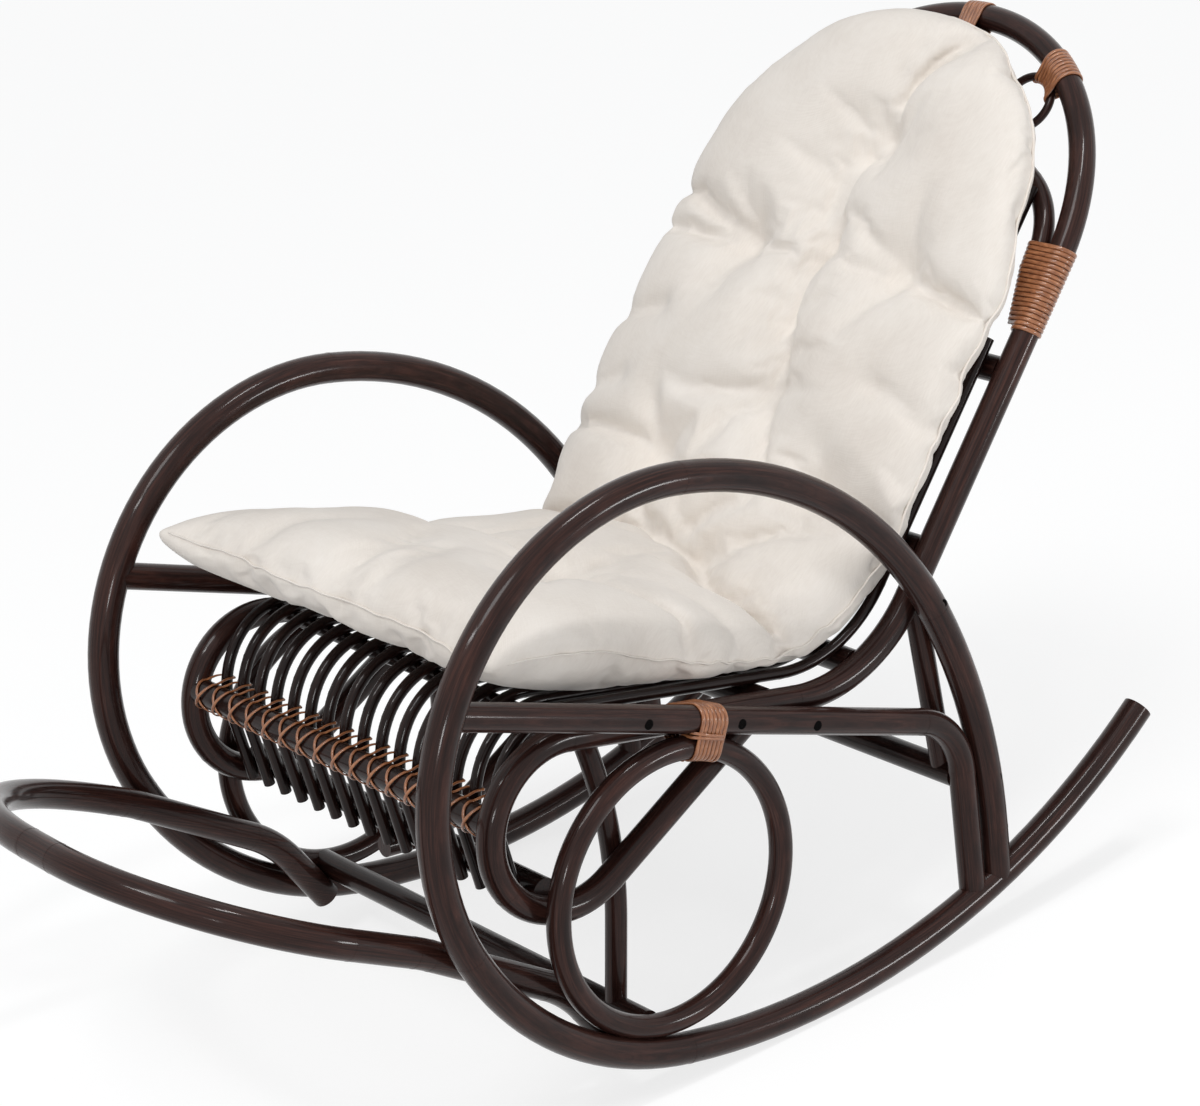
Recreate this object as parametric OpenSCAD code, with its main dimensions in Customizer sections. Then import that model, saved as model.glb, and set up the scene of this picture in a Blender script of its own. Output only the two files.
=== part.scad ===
// Rattan rocking chair, bent from round canes: two continuous side poles carry a scrolled seat and a
// hooped back of slender slats, bound with flat cane, and one long tufted cushion lies on them.
// The chair faces -Y, +X is its left side and +Z is up. The origin is on the floor, under the centre
// of the rocking curve, midway between the side poles.

/* [Stance] */
// How far the chair has rocked back at rest, in degrees
stance = 6; // [0:0.5:8]
// Distance between the centre lines of the two side poles
track = 560; // [500:5:620]

/* [Side poles] */
// Diameter of a side pole
side_d = 32; // [28:1:36]
// Radius of the rocking curve, to the centre of the pole
runner_r = 801; // [760:1:850]
// Angle from the lowest point of the rocking curve back to the pole's rear tip
tip_angle = 43; // [38:0.5:48]
// Angle that the rocking curve turns through
runner_sweep = 49.4; // [45:0.1:54]
// Radius of the bend where the runner rises at the toe
toe_r = 357; // [330:1:380]
// Angle that the toe turns through
toe_sweep = 51.6; // [48:0.1:55]
// Radius of the tall bend at the front, up to the arm
front_r = 271; // [255:1:290]
// Angle that the front bend turns through
front_sweep = 125.4; // [120:0.1:130]
// Radius of the arm where it drops behind the hand
arm_r = 436; // [400:1:470]
// Angle that the arm turns through
arm_sweep = 53.4; // [50:0.1:57]
// Radius of the slight bend of the rear leg
rear_r = 629; // [580:1:680]
// Angle that the rear leg turns through
rear_sweep = 25.1; // [22:0.1:28]

/* [Rails and rings] */
// Diameter of a seat rail
rail_d = 28; // [25:1:31]
// Height of the rail over the lowest point of the runner
rail_z = 339; // [325:1:350]
// Angle at which the rail falls towards the back
rail_fall = 13.1; // [10:0.1:15]
// Distance behind the rocking centre at which the rail turns down
rail_turn_y = 274; // [260:1:280]
// Radius of the rail's bend into the rear leg
rail_bend_r = 80; // [60:1:100]
// Angle of the rear leg to the floor
leg_angle = 81; // [76:0.5:84]
// Diameter of the cane of a side ring
ring_d = 24; // [20:1:27]
// Radius of a side ring, to the centre of its cane
ring_r = 140; // [130:1:146]

/* [Seat poles] */
// Diameter of the seat poles and the outer hoop
seat_d = 28; // [25:1:30]
// Distance behind the rocking centre at which the seat and back lines cross
corner_y = 173.6; // [165:1:185]
// Height at which the seat and back lines cross
corner_z = 327.4; // [320:1:335]
// Length of the seat line, from the back line to the front roll
seat_len = 389; // [375:1:405]
// Angle at which the seat rises towards the front
seat_rise = 5.2; // [3:0.1:7]
// Lean of the back, from upright
recline = 32.2; // [28:0.1:36]
// Radius of the bend between back and seat
corner_r = 165; // [140:1:180]
// Radius of the front of the roll
roll_r = 84; // [78:1:90]
// Angle of the front of the roll
roll_sweep = 135; // [125:1:140]
// Radius of the underside of the roll
under_r = 92; // [84:1:100]
// Angle of the diagonal that returns under the seat
diagonal_rise = 35.2; // [33:0.1:38]

/* [Back] */
// Length of the back line, from the seat line to the centre of the arch
back_len = 473.6; // [450:1:500]
// Distance from the centre of the arch down to the joint of hoop and seat pole
splice_drop = 45; // [30:1:60]
// Diameter of the inner hoop
inner_d = 22; // [19:1:24]
// Radius of the inner hoop at its crown
crown_r = 46; // [40:1:55]
// Diameter of the cane of the small hoop rings
curl_d = 9; // [7:0.5:11]
// Radius of the small hoop rings
curl_r = 30; // [28:0.5:32]
// Direction of the small hoop rings from the centre of the arch, above level
curl_angle = 54; // [50:1:58]

/* [Slats and bars] */
// Number of slats
slat_count = 16; // [16:1:16]
// Diameter of a slat
slat_d = 12; // [10:0.5:13]
// Distance between the centres of two slats
slat_pitch = 30; // [27:0.5:31]
// Diameter of the cross bars
bar_d = 28; // [24:1:30]
// Diameter of the slim bar at the top of the roll
slim_bar_d = 15; // [13:1:18]
// Distance from the back line to the middle seat bar
middle_bar_at = 135; // [125:1:150]
// Distance up the back line to the lower back bar
back_bar_low_at = 150; // [140:1:170]
// Distance up the back line to the upper back bar
back_bar_high_at = 350; // [330:1:360]

/* [Foot loop] */
// Diameter of the foot loop
loop_d = 30; // [27:1:32]
// Angle at which the loop's heels rise
heel_rise = 50; // [46:0.5:54]
// Length of the heels, from the stretcher to the first bend
heel_len = 89; // [80:1:100]
// Angle at which the loop's legs rise
leg_rise = 26.5; // [25:0.5:29]
// Length of the legs, from the first bend to the second
leg_len = 192; // [180:1:205]
// Angle at which the tread rises
tread_rise = 20.8; // [19:0.1:23]
// Length of the tread, from the second bend to the front of the loop
tread_len = 282; // [270:1:300]
// Radius of the loop's left front corner
loop_left_r = 195; // [170:1:220]
// Radius of the loop's right front corner
loop_right_r = 255; // [235:1:258]

/* [Props and braces] */
// Diameter of the prop that stands on the stretcher
prop_d = 22; // [19:1:24]
// Angle that the prop bends forward through
prop_bend = 25; // [22:1:27]
// Radius of the prop's bend
prop_r = 480; // [450:5:500]
// Height at which the prop starts to bend
prop_bend_z = 148; // [140:1:160]
// Diameter of the rear posts
post_d = 24; // [20:1:26]
// Distance up the back line to the top of the rear posts
post_at = 109; // [100:1:125]
// Height of the rear bar
rear_bar_z = 214; // [200:1:230]
// Angle round the ring from its lowest point forward to the stretcher
stretcher_angle = 10.7; // [8:0.1:14]

/* [Bindings] */
// Width of the flat binding cane
strand_w = 4.8; // [4:0.1:5]
// Thickness of the flat binding cane
strand_t = 2.2; // [1.6:0.1:2.6]
// Distance between two loops of a binding
strand_pitch = 5.8; // [5.6:0.1:6.5]
// Number of loops of a waist binding
waist_loops = 16; // [12:1:18]

/* [Cushion] */
// Width of the cushion
cushion_w = 490; // [450:5:510]
// Thickness of the cushion at its crown
cushion_t = 84; // [65:1:95]
// Height of the cushion's side seam
seam_h = 24; // [18:1:30]
// Depth of the sewn tufts
tuft_depth = 22; // [10:1:26]

/* [Hidden] */
$fn = 72;
// Clearance between canes that touch
fit = 0.2;
// Clearance between the cushion and the slats
soft_fit = 0.3;
// Thickness of the cushion's cover, which stands for the weight of its filling
cover = 5;
// Width and height of the ring at a growth node of the cane
knuckle_w = 3;
knuckle_h = 0.15;
// How far a cross bar reaches round the pole that it is coped to
lip = 6;

cane_colour = [0.17, 0.09, 0.07];
binding_colour = [0.45, 0.27, 0.18];
cushion_colour = [0.88, 0.85, 0.80];

// Height of the rocking centre, and the planes of the canes to either side of the middle
arc_c = [0, runner_r + side_d / 2];
side_x = track / 2;
seat_x = side_x - side_d / 2 - seat_d / 2 - fit;
rail_x = seat_x + seat_d / 2 + rail_d / 2 + fit;
loop_x = side_x - side_d / 2 - loop_d / 2 - fit;
prop_x = seat_x - seat_d / 2 - prop_d / 2 - fit;

// Unit vector along a heading on a side view, where 0 points to the back and 90 points up
function dir(h) = [cos(h), sin(h)];
// A place on a side view is [y, z, heading]. A step is [turn, radius], or [0, length] where it is straight.
// A turn to the right is positive.
function spot(f) = [f.x, f.y];
function bend_centre(f, s) = spot(f) + sign(s[0]) * s[1] * dir(f.z - 90);
function move(f, s) = s[0] == 0
    ? concat(spot(f) + s[1] * dir(f.z), f.z)
    : concat(bend_centre(f, s) + sign(s[0]) * s[1] * dir(f.z - s[0] + 90), f.z - s[0]);
function walk(f, steps, n) = n == 0 ? f : move(walk(f, steps, n - 1), steps[n - 1]);
function tangent(turn, r) = r * tan(turn / 2);
// Distance from point p along heading h to a circle, to its near side (-1) or its far side (1)
function reach(p, h, c, r, side) = let (m = p - c, b = m * dir(h)) -b + side * sqrt(b * b - m * m + r * r);
// Distance from point p along heading h to the line through q with heading k
function meet(p, h, q, k) = cross(q - p, dir(k)) / cross(dir(h), dir(k));
function angle_of(v) = atan2(v.y, v.x);

// Side poles
tip = [runner_r * sin(tip_angle), arc_c.y - runner_r * cos(tip_angle), 180 + tip_angle];
side_bends = [
    [runner_sweep, runner_r], [toe_sweep, toe_r], [front_sweep, front_r],
    [arm_sweep, arm_r], [rear_sweep, rear_r]
];
front_c = bend_centre(walk(tip, side_bends, 2), side_bends[2]);
rear_end = walk(tip, side_bends, 5);
rear_len = reach(spot(rear_end), rear_end.z, arc_c, runner_r, 1);

// Rails, from the front bend of the side pole to the runner
rail_mid = [0, rail_z];
rail_front = reach(rail_mid, 180 - rail_fall, front_c, front_r, 1);
rail_turn = leg_angle - rail_fall;
rail_start = concat(rail_mid + rail_front * dir(180 - rail_fall), -rail_fall);
rail_run = rail_front + rail_turn_y / cos(rail_fall) - tangent(rail_turn, rail_bend_r);
rail_bends = [[0, rail_run], [rail_turn, rail_bend_r]];
leg_top = walk(rail_start, rail_bends, 2);
leg_reach = reach(spot(leg_top), leg_top.z, arc_c, runner_r, 1);

// Side rings touch the rail above them and the runner below them
ring_drop = (ring_r + ring_d / 2 + rail_d / 2 + fit) / cos(rail_fall);
ring_line = rail_mid - [0, ring_drop];
ring_lift = ring_r + ring_d / 2 + side_d / 2 + fit;
ring_c = ring_line + reach(ring_line, 180 - rail_fall, arc_c, runner_r - ring_lift, -1) * dir(180 - rail_fall);
ring_top = ring_c + ring_r * dir(90 - rail_fall);
stretcher_c = ring_c + ring_r * dir(270 - stretcher_angle);

// Seat poles
corner = [corner_y, corner_z];
back_up = 90 - recline;
seat_out = 180 - seat_rise;
corner_turn = 180 + back_up - seat_out;
corner_tan = tangent(corner_turn, corner_r);
arch_c = corner + back_len * dir(back_up);
under_sweep = 360 + diagonal_rise - seat_out - roll_sweep;
seat_start = concat(arch_c - splice_drop * dir(back_up), 180 + back_up);
seat_bends = [
    [0, back_len - splice_drop - corner_tan], [corner_turn, corner_r], [0, seat_len - corner_tan],
    [-roll_sweep, roll_r], [-under_sweep, under_r]
];
seat_line = walk(seat_start, seat_bends, 2);
roll_start = walk(seat_start, seat_bends, 3);
roll_c = bend_centre(roll_start, seat_bends[3]);
under_c = bend_centre(walk(seat_start, seat_bends, 4), seat_bends[4]);
diagonal = walk(seat_start, seat_bends, 5);
diagonal_len = meet(spot(diagonal), diagonal.z, corner, seat_out);

// Slats lie on top of the seat bars and in front of the back bars
slat_lift = bar_d / 2 + slat_d / 2 + fit;
nose_back = 14;
nose_sweep = 70;
nose_r = 75;
chin_sweep = 43.2;
chin_r = 90;
chin_len = 80;
slat_over = 4;
slat_line = concat(arch_c + slat_lift * dir(back_up + 90), 180 + back_up);
slat_bends = [
    [0, back_len - corner_tan], [corner_turn, corner_r - slat_lift],
    [0, seat_len - corner_tan - nose_back], [-nose_sweep, nose_r], [-chin_sweep, chin_r], [0, chin_len]
];
nose_c = bend_centre(walk(slat_line, slat_bends, 3), slat_bends[3]);
chin_c = bend_centre(walk(slat_line, slat_bends, 4), slat_bends[4]);
slat_end = walk(slat_line, slat_bends, 6);
slats_x = [for (i = [0 : slat_count - 1]) (slat_count - 1 - 2 * i) * slat_pitch / 2];

// Cross bars
roll_middle = chin_c + (chin_r + slat_lift) * dir(182.5);
slat_foot = 8;
roll_lower = spot(slat_end) - slat_foot * dir(slat_end.z) + slat_lift * dir(slat_end.z + 90);
slim_lift = slim_bar_d / 2 + slat_d / 2 + fit;
roll_upper = nose_c + (nose_r - slim_lift) * dir(seat_out - 90 + 12);
seat_middle = corner + middle_bar_at * dir(seat_out);
corner_c = bend_centre(walk(seat_start, seat_bends, 1), seat_bends[1]);
seat_rear = corner_c + corner_r * dir(180 + back_up + 90 - corner_turn / 2);
back_low = corner + back_bar_low_at * dir(back_up);
back_high = corner + back_bar_high_at * dir(back_up);
rear_bar_c = spot(leg_top) + (leg_top.y - rear_bar_z) / sin(leg_angle) * dir(leg_top.z);
post_top = corner + post_at * dir(back_up);

// Foot loop: its heels pass in front of and below the stretcher
heel_tail = 12;
heel_r = 150;
instep_r = 200;
heel_turn = heel_rise - leg_rise;
instep_turn = leg_rise - tread_rise;
loop_touch = stretcher_c - (bar_d / 2 + loop_d / 2 + fit) * dir(90 - heel_rise);
loop_start = concat(loop_touch - heel_tail * dir(180 - heel_rise), 180 - heel_rise);
loop_bends = [
    [0, heel_tail + heel_len - tangent(heel_turn, heel_r)],
    [-heel_turn, heel_r],
    [0, leg_len - tangent(heel_turn, heel_r) - tangent(instep_turn, instep_r)],
    [-instep_turn, instep_r]
];
tread = walk(loop_start, loop_bends, 4);
tread_run = tread_len - tangent(instep_turn, instep_r);

// Hoops, in the plane of the back: x across and y up from the centre of the arch
inner_shift = (seat_d - inner_d) / 2;
hoop_gap = sqrt(pow(seat_d / 2 + inner_d / 2 + fit, 2) - pow(inner_shift, 2));
tail_len = 60;
tail_d = 8;
tail_tilt = atan((inner_d - tail_d) / 2 / tail_len);
tail_r = 60;
inner_x = seat_x - hoop_gap - tail_r * (1 - cos(tail_tilt));
curl_out = seat_x - seat_d / 2 - fit - curl_d / 2 - curl_r;
curl_c = curl_out * dir(curl_angle);
hug_gap = curl_d / 2 + inner_d / 2 + fit;
hug_r = curl_r + sqrt(hug_gap * hug_gap - inner_shift * inner_shift);
crown_c = [0, seat_x - hoop_gap - crown_r];
shoulder_r = 100;
shoulder_c = [inner_x - shoulder_r, -8];
to_curl = curl_c - crown_c;
to_shoulder = shoulder_c - curl_c;
flank_dir = angle_of(to_curl) - asin((crown_r + hug_r) / norm(to_curl));
flank_len = sqrt(to_curl * to_curl - pow(crown_r + hug_r, 2));
hip_dir = angle_of(to_shoulder) + asin((hug_r + shoulder_r) / norm(to_shoulder));
hip_len = sqrt(to_shoulder * to_shoulder - pow(hug_r + shoulder_r, 2));
inner_bends = [
    [-flank_dir, crown_r], [0, flank_len], [flank_dir - hip_dir, hug_r], [0, hip_len],
    [90 + hip_dir, shoulder_r], [-tail_tilt, tail_r]
];
tail_y = shoulder_c.y - tail_r * sin(tail_tilt);
// The inner hoop beside the seat pole at height y: distance to its axis, offset to the front, radius
function inner_at(y) = y > shoulder_c.y
    ? [seat_x - shoulder_c.x - sqrt(shoulder_r * shoulder_r - pow(y - shoulder_c.y, 2)), inner_shift,
        inner_d / 2 + 0.4]
    : y > tail_y
    ? [seat_x - inner_x, inner_shift, inner_d / 2]
    : y > tail_y - tail_len * cos(tail_tilt)
    ? let (drop = (tail_y - y) * tan(tail_tilt)) [hoop_gap - drop, inner_shift, inner_d / 2 - drop + 0.2]
    : [0, 0, 1];
loop_sides = 10;
waist_foot = 13 - waist_loops * strand_pitch;
inner_ends = [for (i = [1 : 4]) walk([0, crown_c.y + crown_r, 0], inner_bends, i)];
// Height of the inner hoop at distance x from the middle
function inner_y(x) = x < inner_ends[0].x
    ? crown_c.y + sqrt(crown_r * crown_r - x * x)
    : x < inner_ends[1].x
    ? inner_ends[0].y + (x - inner_ends[0].x) * tan(flank_dir)
    : x < inner_ends[2].x
    ? curl_c.y - sqrt(hug_r * hug_r - pow(x - curl_c.x, 2))
    : x < inner_ends[3].x
    ? inner_ends[2].y + (x - inner_ends[2].x) * tan(hip_dir)
    : shoulder_c.y + sqrt(shoulder_r * shoulder_r - pow(x - shoulder_c.x, 2));
// Slats end on the inner hoop, apart from the middle ones under its binding and the outer ones at a bar
top_loops = 5;
function slat_top(x) = x > inner_x - inner_d
    ? back_bar_high_at - back_len + bar_d / 2 + 10
    : x < top_loops / 2 * strand_pitch + slat_d
    ? inner_y(x) - inner_d / 2 - 3
    : inner_y(x) + slat_over;
rail_touch = ring_c + (ring_r + ring_d / 2 + rail_d / 2 + fit) * dir(90 - rail_fall);

// The lashing goes round the middle roll bar and behind the slats
lash_angle = 2.5;
lash_back = slat_lift + slat_d / 2 + 0.8;

// The brace runs back under the lower roll bar and turns up to the middle seat bar
brace_r = 90;
brace_start = concat(roll_lower - [12, bar_d / 2 + prop_d / 2 + fit], 0);
brace_climb = seat_middle.y - brace_start.y;
brace_run = seat_middle.x - brace_start.x - brace_climb / tan(diagonal_rise);
brace_tan = tangent(diagonal_rise, brace_r);
brace_bends = [
    [0, brace_run - brace_tan], [-diagonal_rise, brace_r], [0, brace_climb / sin(diagonal_rise) - brace_tan]
];

// The cushion follows the slats from the top of the back to the front of the seat
pad_lift = slat_lift + slat_d / 2 + soft_fit;
pad_top = 246;
pad_start = concat(arch_c + pad_lift * dir(back_up + 90) + pad_top * dir(back_up), 180 + back_up);
pad_bends = [
    [0, pad_top + back_len - corner_tan], [corner_turn, corner_r - pad_lift],
    [0, seat_len - corner_tan - 74], [12, 350], [0, 70]
];
function length_of(s) = s[0] == 0 ? s[1] : abs(s[0]) * PI / 180 * s[1];
function part(s, d) = s[0] == 0 ? [0, d] : [s[0] * d / length_of(s), s[1]];
function along(f, steps, d, i = 0) = i == len(steps) - 1 || d <= length_of(steps[i])
    ? move(f, part(steps[i], d))
    : along(move(f, steps[i]), steps, d - length_of(steps[i]), i + 1);
function total(list, i = 0) = i == len(list) ? 0 : list[i] + total(list, i + 1);
pad_len = total([for (s = pad_bends) length_of(s)]);
pad_front = pad_len - pad_top - 40;
// Rows lie closer together at both ends
pad_rows = [
    for (i = [1 : 8]) pad_top * (1 - cos(i * 11.25)),
    for (i = [1 : 17]) pad_top + i * pad_front / 17,
    for (i = [1 : 4]) pad_len - 40 * (1 - sin(i * 21.5))
];
// Tufts as [distance from the top, distance to the left, size]
tufts = [
    [185, 40, 1], [320, -85, 0.8], [320, 150, 0.8], [465, 60, 1], [560, -80, 0.7], [560, 90, 0.7],
    [930, 115, 1], [900, -110, 0.8]
];
function round_end(e, p) = e >= 1 ? 1 : e <= 0 ? 0 : pow(1 - pow(1 - e, p), 1 / p);
function half_width(d) = (cushion_w / 2 + 12 * (1 - smooth((d - 300) / 250))
    - 7 * sin(180 * smooth((d - 700) / 500))) * round_end(d / pad_top, 2.15);
function smooth(e) = e <= 0 ? 0 : e >= 1 ? 1 : e * e * (3 - 2 * e);
function dimple(d, x) = tuft_depth * min(1.2, total([for (t = tufts)
    t.z * exp(-(pow(d - t.x, 2) + pow(x - t.y, 2)) / 1800)]));
function signed(v, p) = sign(v) * pow(abs(v), p);
// Height over the slats at angle a of the row at distance d, in the skin's wall below the surface
function skin_h(d, x, a, wall) = let (
    f = min(round_end(d / 60, 2.2), round_end((pad_len - d) / 44, 2.4)),
    crown = (cushion_t - seam_h - wall - dimple(d, x)) * f
) sin(a) > 0 ? seam_h + crown * signed(sin(a), 0.7) : seam_h - (seam_h - wall) * f * pow(abs(sin(a)), 0.5);
function skin_point(d, a, wall) = let (
    x = (half_width(d) - wall) * signed(cos(a), 0.8),
    g = wall == 0 ? d : wall + d * (pad_len - 2 * wall) / pad_len,
    p = along(pad_start, pad_bends, g),
    q = spot(p) + skin_h(d, x, a, wall) * dir(p.z - 90)
) [x, q.x, q.y];

// Draws a cane along its steps, from the origin and along x
module cane(steps, d, i = 0) {
    if (i > 0 && i < len(steps))
        knuckle(d);
    if (i < len(steps)) {
        turn = steps[i][0];
        size = steps[i][1];
        if (turn == 0)
            rod(size, d);
        else
            bend(turn, size, d);
        turned(move([0, 0, 0], steps[i])) cane(steps, d, i + 1);
    }
}
// The low ring of a growth node, where two steps meet
module knuckle(d) {
    rotate([0, 90, 0]) cylinder(h = knuckle_w, d = d + 2 * knuckle_h, center = true);
}
module rod(length, d) {
    rotate([0, 90, 0]) cylinder(h = length, d = d);
}
module bend(turn, r, d) {
    side = sign(turn);
    translate([0, -side * r]) rotate(side > 0 ? 90 - turn : -90)
        rotate_extrude(angle = abs(turn), $fn = 144) translate([r, 0]) circle(d = d);
}
// Places children at the end of the steps
module turned(f) {
    translate([f.x, f.y]) rotate(f.z) children();
}
module hoop(r, d) {
    rotate_extrude($fn = 144) translate([r, 0]) circle(d = d);
}
// Places children that are drawn on a side view, at distance x to the left of the middle
module on_side(x, f) {
    translate([x, f.x, f.y]) rotate([90, 0, 90]) rotate(len(f) > 2 ? f.z : 0) children();
}
// Places children that are drawn on the plane of the back
module on_back() {
    translate([0, arch_c.x, arch_c.y]) rotate([back_up, 0, 0]) children();
}
// A bar across the chair at point p of the side view
module cross_bar(p, half, d) {
    translate([-half, p.x, p.y]) rotate([0, 90, 0]) cylinder(h = 2 * half, d = d);
}
module both_sides() {
    children();
    mirror([1, 0, 0]) children();
}
// Everything is drawn upright and then rocked back about the rocking centre
module rocked() {
    translate([0, 0, arc_c.y]) rotate([-stance, 0, 0]) translate([0, 0, -arc_c.y]) children();
}

// The pole runs from its rear tip along the floor, up over the arm and down to the runner again
module side_pole() {
    on_side(side_x, tip) cane(side_bends, side_d);
    on_side(side_x, rear_end) knuckle(side_d);
    difference() {
        on_side(side_x, rear_end) rod(rear_len, side_d);
        on_side(side_x, arc_c) hoop(runner_r, side_d + 2 * fit);
    }
}
module seat_rail() {
    difference() {
        on_side(rail_x, rail_start) cane(concat(rail_bends, [[0, leg_reach]]), rail_d);
        on_side(side_x, walk(tip, side_bends, 2)) bend(front_sweep, front_r, side_d + 2 * fit);
        on_side(side_x, arc_c) hoop(runner_r, side_d + 2 * fit);
    }
}
module side_ring() {
    on_side(rail_x, ring_c) hoop(ring_r, ring_d);
}
module shape_stretcher() {
    difference() {
        cross_bar(stretcher_c, rail_x - ring_d / 2 + lip, bar_d);
        both_sides() on_side(rail_x, ring_c) hoop(ring_r, ring_d + 2 * fit);
    }
}
module shape_foot_loop() {
    front = [[90, loop_left_r], [0, 2 * loop_x - loop_left_r - loop_right_r], [90, loop_right_r]];
    loop_side(loop_left_r);
    mirror([1, 0, 0]) loop_side(loop_right_r);
    on_side(loop_x, move(tread, [0, tread_run - loop_left_r])) rotate([90, 0, 0]) cane(front, loop_d);
}
// One side of the loop, up to the front corner of radius r
module loop_side(r) {
    bends = concat(loop_bends, [[0, tread_run - r]]);
    on_side(loop_x, loop_start) cane(bends, loop_d);
    on_side(loop_x, walk(loop_start, bends, len(bends))) knuckle(loop_d);
}
module seat_pole() {
    on_side(seat_x, seat_start) cane(seat_bends, seat_d);
    on_side(seat_x, diagonal) knuckle(seat_d);
    difference() {
        on_side(seat_x, diagonal) rod(diagonal_len, seat_d);
        on_side(seat_x, seat_line) rod(seat_bends[2][1], seat_d + 2 * fit);
    }
}
// Room for the listed steps of both seat poles
module seat_pole_room(list) {
    for (i = list)
        both_sides() on_side(seat_x, walk(seat_start, seat_bends, i))
            cane([seat_bends[i]], seat_d + 2 * fit);
}
// A bar between the seat poles, coped to them
module seat_cross_bar(p, d, list) {
    difference() {
        cross_bar(p, seat_x - seat_d / 2 + lip, d);
        seat_pole_room(list);
    }
}
module shape_back_hoop() {
    on_back() translate([-seat_x, -splice_drop]) rotate(90)
        cane([[0, splice_drop], [180, seat_x], [0, splice_drop]], seat_d);
}
module shape_inner_hoop() {
    on_back() translate([0, 0, inner_shift]) {
        inner_half();
        mirror([1, 0, 0]) inner_half();
    }
}
// Half of the arch, from its crown down to the tapered tail
module inner_half() {
    translate([0, crown_c.y + crown_r]) {
        knuckle(inner_d);
        cane(inner_bends, inner_d);
        turned(walk([0, 0, 0], inner_bends, len(inner_bends))) {
            knuckle(inner_d);
            rotate([0, 90, 0]) cylinder(h = tail_len, d1 = inner_d, d2 = tail_d);
        }
    }
}
module hoop_ring() {
    on_back() translate(curl_c) hoop(curl_r, curl_d);
}
module slat(i) {
    x = slats_x[i];
    top = slat_top(abs(x));
    bends = [for (j = [0 : 5]) j == 0 ? [0, top + slat_bends[0][1]] : slat_bends[j]];
    on_side(x, move(slat_line, [0, -top])) cane(bends, slat_d);
}
module shape_roll_bar_lower() {
    seat_cross_bar(roll_lower, bar_d, [4]);
}
module shape_roll_bar_middle() {
    seat_cross_bar(roll_middle, bar_d, [3]);
}
module shape_roll_bar_upper() {
    difference() {
        cross_bar(roll_upper, seat_x - seat_d / 2 + lip, slim_bar_d);
        both_sides() on_side(seat_x, seat_line) rod(seat_bends[2][1] + slim_bar_d, seat_d + 2 * fit);
    }
}
module shape_seat_bar_middle() {
    seat_cross_bar(seat_middle, bar_d, [2]);
}
module shape_seat_bar_rear() {
    seat_cross_bar(seat_rear, bar_d, [1]);
}
module shape_back_bar_lower() {
    seat_cross_bar(back_low, bar_d, [0]);
}
module shape_back_bar_upper() {
    seat_cross_bar(back_high, bar_d, [0]);
}
module shape_rear_bar() {
    difference() {
        cross_bar(rear_bar_c, rail_x - rail_d / 2 + lip, bar_d);
        both_sides() on_side(rail_x, leg_top) rod(leg_reach, rail_d + 2 * fit);
    }
}
module rear_post() {
    rise = post_top - rear_bar_c;
    difference() {
        on_side(seat_x, concat(rear_bar_c, angle_of(rise))) rod(norm(rise), post_d);
        cross_bar(rear_bar_c, rail_x, bar_d + 2 * fit);
        seat_pole_room([0, 1]);
    }
}
module shape_centre_brace() {
    difference() {
        on_side(0, brace_start) cane(brace_bends, prop_d);
        cross_bar(seat_middle, prop_d, bar_d + 2 * fit);
    }
}
module prop() {
    difference() {
        on_side(prop_x, concat(stretcher_c, 90)) rod(prop_bend_z - stretcher_c.y, prop_d);
        cross_bar(stretcher_c, side_x, bar_d + 2 * fit);
    }
    on_side(prop_x, [stretcher_c.x, prop_bend_z, 90]) bend(-prop_bend, prop_r, prop_d);
}

// A flat strand wound round a hull of circles. advance(k) is the distance along the winding at corner k,
// hull(s) gives the circles there as [x, y, radius], and place(p, s) puts a point of that plane in space.
module winding(corners, advance, hull, place) {
    step = 360 / loop_sides;
    function hold(a, s, out) = max([for (c = hull(s)) c.x * cos(a) + c.y * sin(a) + c.z]) + out;
    function corner_at(k, s, out) = let (
        a = k * step, b = a + step, p = hold(a, s, out), q = hold(b, s, out)
    ) [p * sin(b) - q * sin(a), q * cos(a) - p * cos(b)] / sin(step);
    rings = [for (k = [0 : corners]) let (s = advance(k)) [
        for (e = [[0, -1], [0, 1], [1, 1], [1, -1]])
            place(corner_at(k, s, fit + e.x * strand_t), s + e.y * strand_w / 2)
    ]];
    last = 4 * (len(rings) - 1);
    polyhedron([for (r = rings) each r], [
        [0, 1, 2], [0, 2, 3], [last + 2, last + 1, last], [last + 3, last + 2, last],
        for (k = [0 : len(rings) - 2], j = [0 : 3]) let (a = 4 * k + j, b = 4 * k + (j + 1) % 4)
            each [[a, a + 4, b + 4], [a, b + 4, b]]
    ]);
    self_gap = min([for (k = [0 : len(rings) - loop_sides - 1], i = [1, 2], j = [0, 3])
        norm(rings[k][i] - rings[k + loop_sides][j])]);
    echo(least_self_gap = self_gap);
}
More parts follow.
